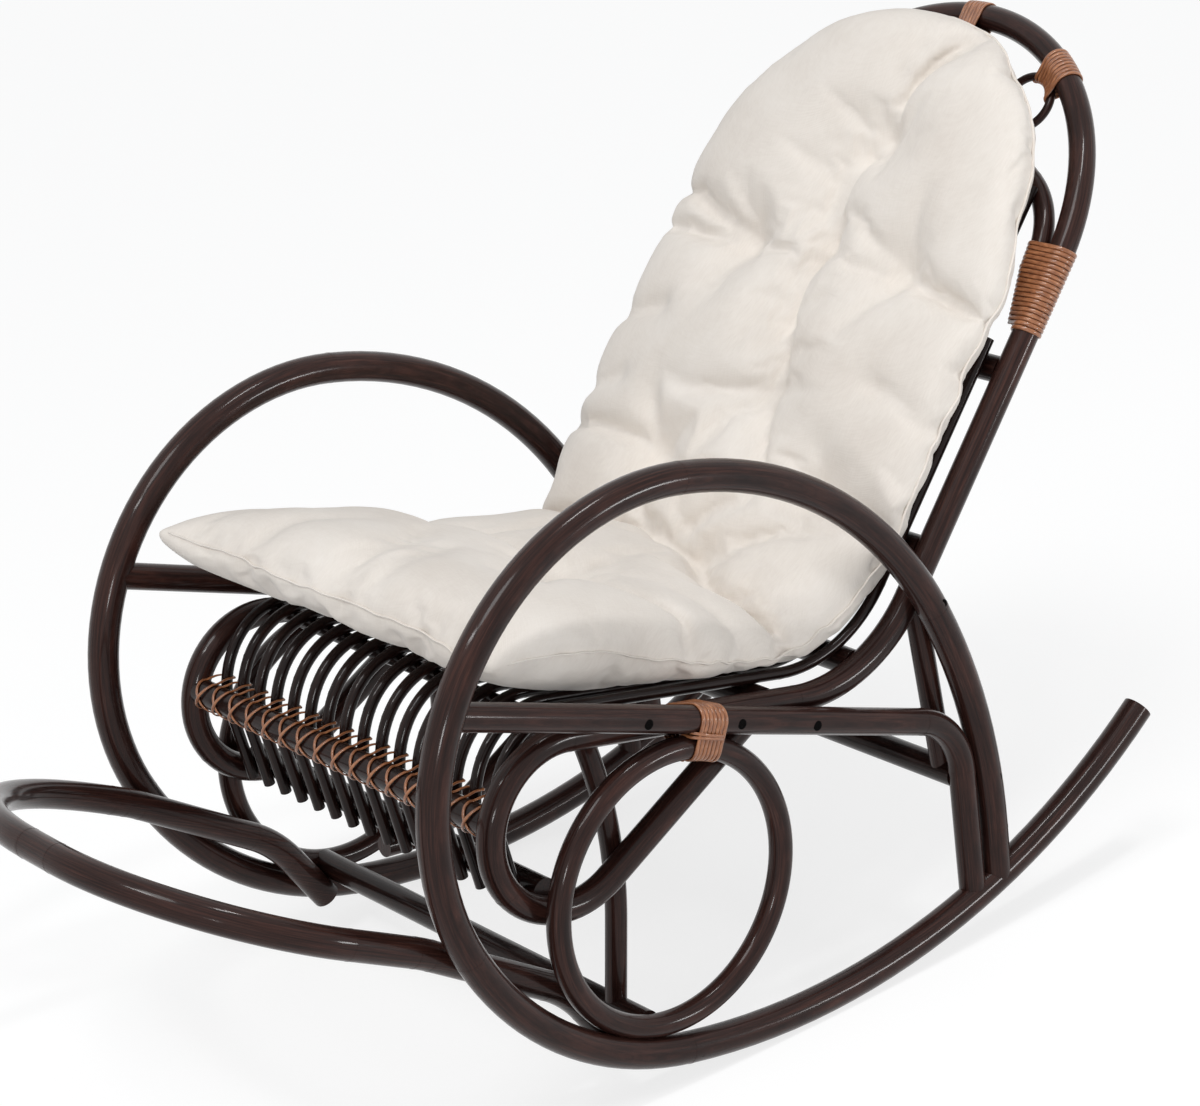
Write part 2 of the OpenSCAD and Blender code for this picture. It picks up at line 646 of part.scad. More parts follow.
// Waist binding: s runs up to the shoulder of the inner hoop
module waist_wrap() {
    hull = function (s) [[0, 0, seat_d / 2], inner_at(waist_foot + s)];
    place = function (p, s) [seat_x - p.x, waist_foot + s, p.y];
    on_back() winding(loop_sides * waist_loops, function (k) k / loop_sides * strand_pitch, hull, place);
}
module shape_top_wrap() {
    hull = function (s) let (a = s / seat_x * 180 / PI, c = crown_c.y) [
        [0, 0, seat_d / 2],
        [seat_x - c * cos(a) - sqrt(pow(crown_r, 2) - pow(c * sin(a), 2)), inner_shift, inner_d / 2 + 0.3]
    ];
    on_back() winding(loop_sides * top_loops, helix(top_loops), hull, around_arch(90));
}
module ring_wrap() {
    loops = 7;
    hull = function (s) let (a = s / seat_x * 180 / PI, c = curl_out, w = pow(c * sin(a), 2)) [
        [0, 0, seat_d / 2],
        [seat_x - c * cos(a) - sqrt(curl_r * curl_r - w), 0, curl_d / 2 / sqrt(1 - w / curl_r / curl_r) + 0.3]
    ];
    on_back() winding(loop_sides * loops, helix(loops), hull, around_arch(curl_angle));
}
function helix(loops) = function (k) (k / loop_sides - loops / 2) * strand_pitch;
// Planes through the centre of the arch: x runs in from the hoop and y to the front
function around_arch(middle) = function (p, s) let (a = middle + s / seat_x * 180 / PI)
    concat((seat_x - p.x) * dir(a), p.y);
module rail_wrap() {
    loops = 6;
    down = -rail_fall - 90;
    hull = function (s) [
        [0, 0, rail_d / 2],
        [rail_d / 2 + ring_d / 2 + fit + s * s / 2 / ring_r, 0, ring_d / 2 + 0.2],
        [meet(rail_touch - s * dir(-rail_fall), down, corner, seat_out), seat_x - rail_x, seat_d / 2 + 0.2]
    ];
    place = function (p, s) [-s, -p.x, p.y];
    on_side(rail_x, concat(rail_touch, -rail_fall)) winding(loop_sides * loops, helix(loops), hull, place);
}
// The strand crosses in front of the bar between two slats and goes on to the next gap behind the slat
module shape_bar_lashing() {
    hull = function (s) [
        [0, 0, bar_d / 2], [lash_back - 4, 9, 4], [lash_back - 4, -9, 4]
    ];
    place = function (p, s) [p.x, p.y, s];
    between = function (k) (floor(k / loop_sides) - slat_count / 2 + 1) * slat_pitch;
    on_side(0, concat(roll_middle, lash_angle)) winding(loop_sides * (slat_count - 1) - 1, between, hull, place);
}

// One closed sheet of the cushion's cover, at depth wall below its surface
module skin(wall) {
    n = 20;
    rows = len(pad_rows);
    last = (rows - 1) * n;
    points = [for (d = pad_rows, j = [0 : n - 1]) skin_point(d, (j + 0.5) * 360 / n, wall)];
    polyhedron(points, [
        for (j = [1 : n - 2]) each [[0, j, j + 1], [last, last + j + 1, last + j]],
        for (i = [0 : rows - 2], j = [0 : n - 1]) let (a = i * n + j, b = i * n + (j + 1) % n)
            each [[a, a + n, b + n], [a, b + n, b]]
    ]);
}
// The cushion is drawn as its cover, which is open at a small vent in its underside
module shape_cushion() {
    vent = along(pad_start, pad_bends, pad_len - 320);
    difference() {
        skin(0);
        skin(cover);
        on_side(0, vent) rotate([-90, 0, 0]) translate([0, 0, -20]) cylinder(h = 40, d = 12, $fn = 24);
    }
}

module side_pole_left() {
    color(cane_colour) rocked() side_pole();
}
module side_pole_right() {
    color(cane_colour) rocked() mirror([1, 0, 0]) side_pole();
}
module seat_rail_left() {
    color(cane_colour) rocked() seat_rail();
}
module seat_rail_right() {
    color(cane_colour) rocked() mirror([1, 0, 0]) seat_rail();
}
module side_ring_left() {
    color(cane_colour) rocked() side_ring();
}
module side_ring_right() {
    color(cane_colour) rocked() mirror([1, 0, 0]) side_ring();
}
module foot_loop() {
    color(cane_colour) rocked() shape_foot_loop();
}
module seat_pole_left() {
    color(cane_colour) rocked() seat_pole();
}
module seat_pole_right() {
    color(cane_colour) rocked() mirror([1, 0, 0]) seat_pole();
}
module back_hoop() {
    color(cane_colour) rocked() shape_back_hoop();
}
module inner_hoop() {
    color(cane_colour) rocked() shape_inner_hoop();
}
module hoop_ring_left() {
    color(cane_colour) rocked() hoop_ring();
}
module hoop_ring_right() {
    color(cane_colour) rocked() mirror([1, 0, 0]) hoop_ring();
}
module slat_01() {
    color(cane_colour) rocked() slat(0);
}
module slat_02() {
    color(cane_colour) rocked() slat(1);
}
module slat_03() {
    color(cane_colour) rocked() slat(2);
}
module slat_04() {
    color(cane_colour) rocked() slat(3);
}
module slat_05() {
    color(cane_colour) rocked() slat(4);
}
module slat_06() {
    color(cane_colour) rocked() slat(5);
}
module slat_07() {
    color(cane_colour) rocked() slat(6);
}
module slat_08() {
    color(cane_colour) rocked() slat(7);
}
module slat_09() {
    color(cane_colour) rocked() slat(8);
}
module slat_10() {
    color(cane_colour) rocked() slat(9);
}
module slat_11() {
    color(cane_colour) rocked() slat(10);
}
module slat_12() {
    color(cane_colour) rocked() slat(11);
}
module slat_13() {
    color(cane_colour) rocked() slat(12);
}
module slat_14() {
    color(cane_colour) rocked() slat(13);
}
module slat_15() {
    color(cane_colour) rocked() slat(14);
}
module slat_16() {
    color(cane_colour) rocked() slat(15);
}
module roll_bar_lower() {
    color(cane_colour) rocked() shape_roll_bar_lower();
}
module roll_bar_middle() {
    color(cane_colour) rocked() shape_roll_bar_middle();
}
module roll_bar_upper() {
    color(cane_colour) rocked() shape_roll_bar_upper();
}
module seat_bar_middle() {
    color(cane_colour) rocked() shape_seat_bar_middle();
}
module seat_bar_rear() {
    color(cane_colour) rocked() shape_seat_bar_rear();
}
module back_bar_lower() {
    color(cane_colour) rocked() shape_back_bar_lower();
}
module back_bar_upper() {
    color(cane_colour) rocked() shape_back_bar_upper();
}
module stretcher() {
    color(cane_colour) rocked() shape_stretcher();
}
module rear_bar() {
    color(cane_colour) rocked() shape_rear_bar();
}
module rear_post_left() {
    color(cane_colour) rocked() rear_post();
}
module rear_post_right() {
    color(cane_colour) rocked() mirror([1, 0, 0]) rear_post();
}
module centre_brace() {
    color(cane_colour) rocked() shape_centre_brace();
}
module prop_left() {
    color(cane_colour) rocked() prop();
}
module waist_wrap_left() {
    color(binding_colour) rocked() waist_wrap();
}
module waist_wrap_right() {
    color(binding_colour) rocked() mirror([1, 0, 0]) waist_wrap();
}
module top_wrap() {
    color(binding_colour) rocked() shape_top_wrap();
}
module ring_wrap_left() {
    color(binding_colour) rocked() ring_wrap();
}
module ring_wrap_right() {
    color(binding_colour) rocked() mirror([1, 0, 0]) ring_wrap();
}
module rail_wrap_left() {
    color(binding_colour) rocked() rail_wrap();
}
module rail_wrap_right() {
    color(binding_colour) rocked() mirror([1, 0, 0]) rail_wrap();
}
module bar_lashing() {
    color(binding_colour) rocked() shape_bar_lashing();
}
module cushion() {
    color(cushion_colour) rocked() shape_cushion();
}

side_pole_left();
side_pole_right();
seat_rail_left();
seat_rail_right();
side_ring_left();
side_ring_right();
foot_loop();
seat_pole_left();
seat_pole_right();
back_hoop();
inner_hoop();
hoop_ring_left();
hoop_ring_right();
slat_01();
slat_02();
slat_03();
slat_04();
slat_05();
slat_06();
slat_07();
slat_08();
slat_09();
slat_10();
slat_11();
slat_12();
slat_13();
slat_14();
slat_15();
slat_16();
roll_bar_lower();
roll_bar_middle();
roll_bar_upper();
seat_bar_middle();
seat_bar_rear();
back_bar_lower();
back_bar_upper();
stretcher();
rear_bar();
rear_post_left();
rear_post_right();
centre_brace();
prop_left();
waist_wrap_left();
waist_wrap_right();
top_wrap();
ring_wrap_left();
ring_wrap_right();
rail_wrap_left();
rail_wrap_right();
bar_lashing();
cushion();
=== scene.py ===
import math
import bpy
import bmesh
import numpy as np
from mathutils import Matrix, Vector


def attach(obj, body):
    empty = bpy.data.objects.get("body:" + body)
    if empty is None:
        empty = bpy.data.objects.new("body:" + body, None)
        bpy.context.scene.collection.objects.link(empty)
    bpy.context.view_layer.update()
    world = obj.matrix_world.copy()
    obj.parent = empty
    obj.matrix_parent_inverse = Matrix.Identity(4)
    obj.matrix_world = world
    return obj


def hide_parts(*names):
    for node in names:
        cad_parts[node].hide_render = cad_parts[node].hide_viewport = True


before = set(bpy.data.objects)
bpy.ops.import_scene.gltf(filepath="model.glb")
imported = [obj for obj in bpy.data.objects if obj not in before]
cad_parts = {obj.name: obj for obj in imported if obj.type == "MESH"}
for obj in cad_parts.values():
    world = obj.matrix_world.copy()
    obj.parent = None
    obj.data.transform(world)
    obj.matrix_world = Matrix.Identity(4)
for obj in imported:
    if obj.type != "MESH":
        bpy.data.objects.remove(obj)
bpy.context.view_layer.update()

scene = bpy.context.scene
TAU = 2 * math.pi

# Sizes in millimetres on the upright chair, y to the back and z up. At the end everything is rocked back by
# STANCE about the centre of the rocking curve, at ARC_Z, and scaled to metres.
STANCE = math.radians(6)
ARC_Z = 817.0
# The lean of the back, and the y and z of where it meets the seat and of the centre of its arch.
RECLINE = math.radians(32.2)
UP_BACK = np.array([math.sin(RECLINE), math.cos(RECLINE)])
FRONT_BACK = np.array([-math.cos(RECLINE), math.sin(RECLINE)])
CORNER = np.array([173.6, 327.4])
BACK_LEN = 473.6
ARCH = CORNER + BACK_LEN * UP_BACK
# Half the distance between the seat poles and between the rails, and the radius of these canes.
SEAT_X, RAIL_X = 249.8, 278.0
POLE_R = 14
# From the centre of the arch to the middle of a small ring and of the inner hoop's crown, and their radii.
CURL_AT, CURL_R = 201.1, 30.0
CROWN_AT, CROWN_R = 178.78, 46.0
# The rail falls to the back; the side ring touches it from below at RING_TOUCH.
RAIL_FALL = math.radians(13.1)
ALONG_RAIL = np.array([math.cos(RAIL_FALL), -math.sin(RAIL_FALL)])
UNDER_RAIL = np.array([-math.sin(RAIL_FALL), -math.cos(RAIL_FALL)])
RING_TOUCH = np.array([-70.2, 355.34])
SEAT_LINE = math.radians(174.8)
# The middle bar of the front roll, and the slats that are lashed to it.
ROLL_MIDDLE = np.array([-301.35, 295.62])
SLATS, SLAT_PITCH = 16, 30


def rocked(points):
    """Turns upright points about the rocking centre, y' = y cos + z sin and z' = z cos - y sin, in metres."""
    p = np.asarray(points, float)
    c, s = math.cos(STANCE), math.sin(STANCE)
    y, z = p[..., 1], p[..., 2] - ARC_Z
    return np.stack([p[..., 0], y * c + z * s, z * c - y * s + ARC_Z], -1) / 1000


def turned(vectors):
    """Turns upright directions by the stance, without moving or scaling them."""
    v = np.asarray(vectors, float)
    c, s = math.cos(STANCE), math.sin(STANCE)
    return np.stack([v[..., 0], v[..., 1] * c + v[..., 2] * s, v[..., 2] * c - v[..., 1] * s], -1)


def on_back(x, up, front):
    """Points of the back: x across, up along its slope from the centre of the arch, front square to it."""
    x, up, front = np.broadcast_arrays(*(np.asarray(v, float) for v in (x, up, front)))
    yz = ARCH + up[..., None] * UP_BACK + front[..., None] * FRONT_BACK
    return np.stack([x, yz[..., 0], yz[..., 1]], -1)


def unit(v):
    """Vectors divided by their length."""
    return v / np.maximum(np.linalg.norm(v, axis=-1, keepdims=True), 1e-12)


def mesh_piece(name, points, faces, material, uv=None):
    """A smooth piece from points in metres and faces; uv has one pair for each corner of each face."""
    mesh = bpy.data.meshes.new(name)
    mesh.from_pydata(np.asarray(points).reshape(-1, 3).tolist(), [], [list(map(int, f)) for f in faces])
    if uv is not None:
        layer = mesh.uv_layers.new(name="along")
        layer.data.foreach_set("uv", np.asarray(uv, np.float32).ravel())
    mesh.polygons.foreach_set("use_smooth", np.full(len(mesh.polygons), True))
    mesh.materials.append(material)
    mesh.update()
    piece = bpy.data.objects.new(name, mesh)
    scene.collection.objects.link(piece)
    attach(piece, "root")
    return piece


def tube_faces(rings, sides, closed=False):
    """Quads between neighbouring rings of a tube, and a flat cap on each end unless the tube is closed."""
    i, j = np.meshgrid(np.arange(rings if closed else rings - 1), np.arange(sides), indexing="ij")
    i, j = i.ravel(), j.ravel()
    n, k = (i + 1) % rings, (j + 1) % sides
    quads = np.stack([i * sides + j, i * sides + k, n * sides + k, n * sides + j], 1)
    caps = [] if closed else [list(range(sides))[::-1], [(rings - 1) * sides + a for a in range(sides)]]
    return quads, caps


def swept(name, path, across, out, profile, material, closed=False):
    """Carries a profile of (across, out) pairs along a path: point = path + a * across + b * out.
    The UV map holds the length along the path and the share of the way round the profile."""
    path, across, out = (np.asarray(v, float) for v in (path, across, out))
    ring = np.asarray(profile, float)
    sides = len(ring)
    grid = path[:, None] + ring[None, :, :1] * across[:, None] + ring[None, :, 1:] * out[:, None]
    quads, caps = tube_faces(len(path), sides, closed)
    steps = np.linalg.norm(np.diff(path, axis=0, append=path[:1]), axis=1) / 1000
    length = np.concatenate([[0], np.cumsum(steps)])
    i, j = quads[:, 0] // sides, quads[:, 0] % sides
    uv = np.stack([
        np.stack([length[i], j / sides], 1), np.stack([length[i], (j + 1) / sides], 1),
        np.stack([length[i + 1], (j + 1) / sides], 1), np.stack([length[i + 1], j / sides], 1)], 1)
    uv = np.concatenate([uv.reshape(-1, 2), np.zeros((sides * len(caps), 2))])
    return mesh_piece(name, rocked(grid), list(quads) + caps, material, uv)


# Materials: numbers on a surface are written as expressions.

class Value:
    """A socket that carries a number. An operator on it adds a Math node."""

    def __init__(self, finish, socket):
        self.finish, self.socket = finish, socket

    def maths(self, operation, *others):
        return self.finish.node("ShaderNodeMath", [self, *others], operation=operation)[0]

    def __add__(self, other):
        return self.maths("ADD", other)

    def __sub__(self, other):
        return self.maths("SUBTRACT", other)

    def __rsub__(self, other):
        return self.finish.node("ShaderNodeMath", [other, self], operation="SUBTRACT")[0]

    def __mul__(self, other):
        return self.maths("MULTIPLY", other)

    __radd__, __rmul__ = __add__, __mul__

    def sin(self):
        return self.maths("SINE")

    def clamp(self):
        return self.finish.node("ShaderNodeClamp", [self])[0]


class Finish:
    """The nodes of one material, with a Principled shader at their end."""

    def __init__(self, name, **constants):
        self.material = bpy.data.materials.new(name)
        self.material.use_nodes = True
        self.tree = self.material.node_tree
        self.shader = self.tree.nodes["Principled BSDF"]
        for key, value in constants.items():
            self.shader.inputs[key.replace("_", " ")].default_value = value

    def node(self, kind, values=(), **settings):
        """Any node: first its settings, then the values or links of its sockets, by place or by name."""
        made = self.tree.nodes.new(kind)
        for key, value in settings.items():
            if key == "stops":
                ramp = made.color_ramp
                while len(ramp.elements) < len(value):
                    ramp.elements.new(0.5)
                for element, (place, colour) in zip(ramp.elements, value):
                    element.position = place
                    element.color = (*colour, 1)
            else:
                setattr(made, key, value)
        for key, value in (values.items() if isinstance(values, dict) else enumerate(values)):
            if isinstance(value, Value):
                self.tree.links.new(value.socket, made.inputs[key])
            elif value is not None:
                made.inputs[key].default_value = value
        return [Value(self, s) for s in made.outputs if s.enabled]

    def place(self):
        """Object coordinates, in metres."""
        return self.node("ShaderNodeTexCoord")[3]

    def parts(self, vector):
        return self.node("ShaderNodeSeparateXYZ", [vector])

    def vector(self, x, y, z):
        return self.node("ShaderNodeCombineXYZ", [x, y, z])[0]

    def noise(self, vector, scale, detail=3.0, roughness=0.5, distortion=0.0):
        values = {"Vector": vector, "Scale": scale, "Detail": detail, "Roughness": roughness}
        return self.node("ShaderNodeTexNoise", {**values, "Distortion": distortion})[0]

    def ramp(self, value, *stops):
        return self.node("ShaderNodeValToRGB", [value], stops=stops)[0]

    def feed(self, **inputs):
        for key, value in inputs.items():
            self.tree.links.new(value.socket, self.shader.inputs[key.replace("_", " ")])

    def bump(self, height, distance, strength=1.0):
        made = self.node("ShaderNodeBump", {"Height": height, "Distance": distance, "Strength": strength})[0]
        self.feed(Normal=made)


STREAKS = 700
ALONG_CANE = 14


def cane_finish(name, grain, depth=1.0):
    """Dark varnished cane. grain gives, from Object coordinates, a vector that varies fast across the cane
    and slowly along it, so the noise stretches into streaks; a wide noise adds patches. depth scales its
    lightness: below 1 it paints shade into the colour, for canes that lie in shade."""
    f = Finish(name, Coat_Weight=0.7, Coat_Roughness=0.12, Coat_IOR=1.30, Specular_IOR_Level=0.05)
    at = f.place()
    streak = f.noise(grain(f, at), 1.0, 4.0, 0.62, 0.25)
    fine = f.noise(grain(f, at), 3.2, 2.0, 0.55)
    patch = f.noise(at, 14.0, 3.0, 0.6, 0.4)
    tone = (streak * 0.78 + fine * 0.24 + patch * 0.16 - 0.1).clamp()
    tints = ((0.34, (0.012, 0.0050, 0.0042)), (0.48, (0.024, 0.0095, 0.0075)),
             (0.60, (0.043, 0.0165, 0.0125)), (0.76, (0.085, 0.036, 0.027)))
    colour = f.ramp(tone, *((place, tuple(depth * c for c in tint)) for place, tint in tints))
    f.feed(Base_Color=colour, Roughness=0.24 + streak * 0.16 + patch * 0.06)
    f.bump(streak * 0.9 + fine * 0.5 + patch * 0.6, 0.0007, 0.6)
    return f.material


def across_x(f, at):
    """Streaks for canes that lie square to x."""
    x, y, z = f.parts(at)
    return f.vector(x * STREAKS, y * ALONG_CANE, z * ALONG_CANE)


def across_back(f, at):
    """The back leans by recline + stance, so front = z sin - y cos lies square to its canes."""
    x, y, z = f.parts(at)
    lean = RECLINE + STANCE
    front = z * math.sin(lean) - y * math.cos(lean)
    up = y * math.sin(lean) + z * math.cos(lean)
    return f.vector(front * STREAKS, x * ALONG_CANE, up * ALONG_CANE)


def across_loop(f, at):
    """The footrest's loop lies in a plane that climbs to the front, and z cos + y sin is square to it."""
    x, y, z = f.parts(at)
    climb = math.radians(26.9)
    square = z * math.cos(climb) + y * math.sin(climb)
    back = y * math.cos(climb) - z * math.sin(climb)
    return f.vector(square * STREAKS, x * ALONG_CANE, back * ALONG_CANE)


def along_x(f, at):
    """Streaks for the cross bars, which run along x."""
    x, y, z = f.parts(at)
    return f.vector(x * 22, y * 420, z * 420)


def binding_finish():
    """Flat split cane: fine lines along the strand and paler worn patches, under varnish."""
    f = Finish("split cane binding", Coat_Weight=0.5, Coat_Roughness=0.1, Specular_IOR_Level=0.35)
    u, v, _ = f.parts(f.node("ShaderNodeUVMap", uv_map="along")[0])
    lines = f.noise(f.vector(u * 40, v * 46, 0.0), 1.0, 3.0, 0.6)
    patch = f.noise(f.vector(u * 90, v * 2.5, 0.0), 1.0, 2.0, 0.6)
    tone = lines * 0.5 + patch * 0.6 - 0.05
    colour = f.ramp(tone, (0.28, (0.10, 0.031, 0.012)), (0.46, (0.27, 0.096, 0.037)),
                    (0.62, (0.43, 0.175, 0.075)), (0.80, (0.60, 0.32, 0.17)))
    f.feed(Base_Color=colour, Roughness=0.18 + lines * 0.2)
    f.bump(lines * 0.6 + patch * 0.4, 0.0004, 0.6)
    return f.material


def cotton_finish():
    """Unbleached cotton: a plain weave as crossed sine waves on Object coordinates, faint slubs and stains."""
    f = Finish("unbleached cotton", Roughness=0.86, Sheen_Weight=0.25, Sheen_Roughness=0.5,
               Specular_IOR_Level=0.25)
    at = f.place()
    x, y, z = f.parts(at)
    down = y * 0.6 - z * 0.8
    weave = (x * 5200).sin() * 0.5 + (down * 5200).sin() * 0.5
    slub_across = f.noise(f.vector(x * 90, down * 900, y * 90), 1.0, 2.0, 0.6)
    slub = slub_across + f.noise(f.vector(x * 900, down * 90, y * 90), 1.0, 2.0, 0.6)
    wide = f.noise(at, 9.0, 3.0, 0.55)
    colour = f.ramp(wide * 0.6 + slub * 0.2, (0.34, (0.72, 0.66, 0.60)), (0.52, (0.79, 0.735, 0.675)),
                    (0.70, (0.84, 0.79, 0.735)))
    f.feed(Base_Color=colour, Roughness=0.82 + slub * 0.05)
    f.bump(weave * 0.22 + slub * 0.5, 0.0003, 0.5)
    return f.material


def iron_and_hole_shade_finish():
    """Nearly black iron, a little uneven: the heads' own dark colour, made darker still as painted shade of a
    countersunk hole.
    """
    f = Finish("black screw with painted hole shade", Roughness=0.7, Specular_IOR_Level=0.02)
    uneven = f.noise(f.place(), 900.0)
    f.feed(Base_Color=f.ramp(uneven, (0.3, (0.0015, 0.0013, 0.0013)), (0.8, (0.006, 0.005, 0.005))))
    return f.material


side_cane = cane_finish("dark cane, side", across_x)
back_cane = cane_finish("dark cane, hoop", across_back)
loop_cane = cane_finish("dark cane, footrest", across_loop)
# The bars and slats are the same cane, darkened by depth as painted shade for where they lie in shade inside
# the frame.
shaded_bar_cane = cane_finish("dark cane, bar, painted shade", along_x, 0.5)
shaded_slat_cane = cane_finish("dark cane, slat, painted shade", across_x, 0.4)
binding = binding_finish()
cotton = cotton_finish()
iron = iron_and_hole_shade_finish()

for name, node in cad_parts.items():
    if name.startswith(("back_hoop", "inner_hoop", "hoop_ring")):
        material = back_cane
    elif name == "foot_loop":
        material = loop_cane
    elif "bar" in name or name == "stretcher":
        material = shaded_bar_cane
    elif name.startswith("slat"):
        material = shaded_slat_cane
    else:
        material = side_cane
    for slot in node.material_slots:
        slot.material = material


def join(name, pieces):
    """Makes one piece of several."""
    bpy.ops.object.select_all(action="DESELECT")
    for piece in pieces:
        piece.select_set(True)
    bpy.context.view_layer.objects.active = pieces[0]
    bpy.ops.object.join()
    pieces[0].name = name
    pieces[0].data.name = name
    return pieces[0]


# Bindings: a strand wound round a hull of circles.

STRAND = [(-1.0, 0.05), (-0.96, 0.62), (-0.6, 0.95), (0, 1.0), (0.6, 0.95), (0.96, 0.62), (1.0, 0.05),
          (0.0, -0.04)]


def strand_profile(width, thick):
    """The strand's domed cross-section, scaled to its width and thickness."""
    return [(a * width / 2, b * thick) for a, b in STRAND]


def hull_point(angle, circles, lift):
    """The point where a taut strand touches: of all circles the one whose centre . n + radius is largest."""
    n = np.stack([np.cos(angle), np.sin(angle)], -1)
    reach = np.stack([c[..., 0] * n[:, 0] + c[..., 1] * n[:, 1] + c[..., 2] for c in circles])
    pick = reach.argmax(0)
    chosen = np.stack(circles)[pick, np.arange(len(angle))]
    return chosen[:, :2] + (chosen[:, 2:] + lift) * n, n


def winding(name, node, turns, start, pitch, circles, place, seed):
    """A strand that goes round by turns while it climbs by pitch a turn; it lies flat on the hull, and its
    edge wanders a little, by smooth random amounts. Gives the piece and the CAD node that it stands for."""
    per_turn = 40
    t = np.linspace(0, turns, turns * per_turn + 1)
    halves = np.arange(0, turns + 2, 0.5)
    wander = np.interp(t, halves, np.random.default_rng(seed).normal(0, 0.12, len(halves)))
    s = start + t * pitch + wander
    point, n = hull_point(TAU * t, circles(s), 0.25)
    path = place(point, s)
    out = unit(place(point + n, s) - path)
    across = unit(place(point, s + 1) - path)
    return swept(name, path, across, out, strand_profile(4.5, 1.9), binding), node


def circle(x, y, r, s):
    """The circle of one cane on each section s: its centre x, y and radius r."""
    return np.stack([np.broadcast_to(v, s.shape).astype(float) for v in (x, y, r)], -1)


def inner_beside(up):
    """The inner hoop beside the seat pole: on its shoulder arc, then along its tapered tail, then gone."""
    arc = SEAT_X - 124.375 - np.sqrt(np.maximum(100.0 ** 2 - np.maximum(up + 8, 0) ** 2, 1))
    drop = np.clip((-14.95 - up) * 0.11666, 0, 7)
    ends = up < -74.5
    x = np.where(up > -8, arc, np.where(ends, 0, 25.02 - drop))
    r = np.where(up > -8, 11.4, np.where(ends, 1, 11.2 - drop))
    return circle(x, np.where(ends, 0, 3.0), r, up)


def waist_hull(s):
    return [circle(0, 0, POLE_R, s), inner_beside(s)]


def waist_place(side):
    """Sections across the straight back pole; s runs up it."""
    return lambda p, s: on_back(side * (SEAT_X - p[:, 0]), s, p[:, 1])


def arch_place(middle, side=1):
    """Sections across the outer hoop; s runs along its arch from the angle middle."""
    def place(p, s):
        a = middle + s / SEAT_X
        rho = SEAT_X - p[:, 0]
        return on_back(side * rho * np.cos(a), rho * np.sin(a), p[:, 1])
    return place


def curl_hull(s):
    """The outer hoop and the nearest part of the small ring, cut the more slantwise the further out."""
    a = s / SEAT_X
    inside = np.sqrt(np.maximum(CURL_R ** 2 - (CURL_AT * np.sin(a)) ** 2, 1))
    x = SEAT_X - CURL_AT * np.cos(a) - inside
    return [circle(0, 0, POLE_R, s), circle(x, 0, 4.8 + 4.5 * (CURL_R / inside - 1), s)]


def crown_hull(s):
    """The outer hoop and the crown of the inner one."""
    a = s / SEAT_X
    x = SEAT_X - CROWN_AT * np.cos(a) - np.sqrt(CROWN_R ** 2 - (CROWN_AT * np.sin(a)) ** 2)
    return [circle(0, 0, POLE_R, s), circle(x, 3.0, 11.3, s)]


def rail_hull(s):
    """The rail, the side ring under it and the seat pole that passes inside it."""
    towards = CORNER - (RING_TOUCH - s[:, None] * ALONG_RAIL)
    run = np.array([math.sin(SEAT_LINE), -math.cos(SEAT_LINE)])
    seat = (towards @ run) / (UNDER_RAIL @ run)
    ring = circle(26.2 + s * s / 280, 0, 12.2, s)
    return [circle(0, 0, POLE_R, s), ring, circle(seat, SEAT_X - RAIL_X, 14.2, s)]


def rail_place(side):
    """Sections across the rail; s runs up it, towards the front."""
    def place(p, s):
        yz = RING_TOUCH - s[:, None] * ALONG_RAIL + p[:, :1] * UNDER_RAIL
        return np.stack([side * (RAIL_X + p[:, 1]), yz[:, 0], yz[:, 1]], -1)
    return place


made = []
for side, tag in ((1, "left"), (-1, "right")):
    made += [
        winding(f"waist_binding_{tag}", f"waist_wrap_{tag}", 19, -80.4, 4.98, waist_hull, waist_place(side),
                seed=3 + side),
        winding(f"ring_binding_{tag}", f"ring_wrap_{tag}", 8, -20.2, 5.05, curl_hull,
                arch_place(math.radians(54), side), seed=7),
        winding(f"rail_binding_{tag}", f"rail_wrap_{tag}", 7, -17.3, 4.95, rail_hull, rail_place(side),
                seed=11),
    ]


def cross_bands():
    """Two strands round the waist of each rail binding, as flattened ovals: x = 278 + 16.4 sin a and, along
    the rail, 20.4 cos a, with the sine raised to 0.6 and the cosine to 0.7."""
    a = np.arange(72) * TAU / 72
    wide = 20.4 * np.sign(np.cos(a)) * np.abs(np.cos(a)) ** 0.7
    thick = 16.4 * np.sign(np.sin(a)) * np.abs(np.sin(a)) ** 0.6
    pieces = []
    for side in (1, -1):
        for k, level in enumerate((11.3, 14.9)):
            under = level + 0.7 * np.sin(2 * a + k)
            yz = RING_TOUCH + wide[:, None] * ALONG_RAIL + under[:, None] * UNDER_RAIL
            path = np.stack([side * (RAIL_X + thick), yz[:, 0], yz[:, 1]], 1)
            tangent = unit(np.roll(path, -1, 0) - np.roll(path, 1, 0))
            out = path - path.mean(0)
            out = unit(out - (out * tangent).sum(1, keepdims=True) * tangent)
            across = unit(np.cross(tangent, out)) * side
            pieces.append(swept(f"cross_band_{len(pieces)}", path, across, out, strand_profile(3.2, 1.5),
                                binding, closed=True))
    return join("rail_cross_bands", pieces)


cross_bands()
made.append(winding("crown_binding", "top_wrap", 6, -14.5, 4.85, crown_hull, arch_place(math.pi / 2),
                    seed=21))


def smooth_loop(knots, count):
    """A closed curve through knots: Catmull-Rom pieces, each a cubic of its four nearest knots."""
    p = np.asarray(knots, float)
    t = np.linspace(0, len(p), count, endpoint=False)
    i = t.astype(int)
    u = (t - i)[:, None]
    a, b, c, d = (p[(i + k) % len(p)] for k in (-1, 0, 1, 2))
    square, cube = 2 * a - 5 * b + 4 * c - d, 3 * b - 3 * c + d - a
    return 0.5 * (2 * b + (c - a) * u + square * u ** 2 + cube * u ** 3)


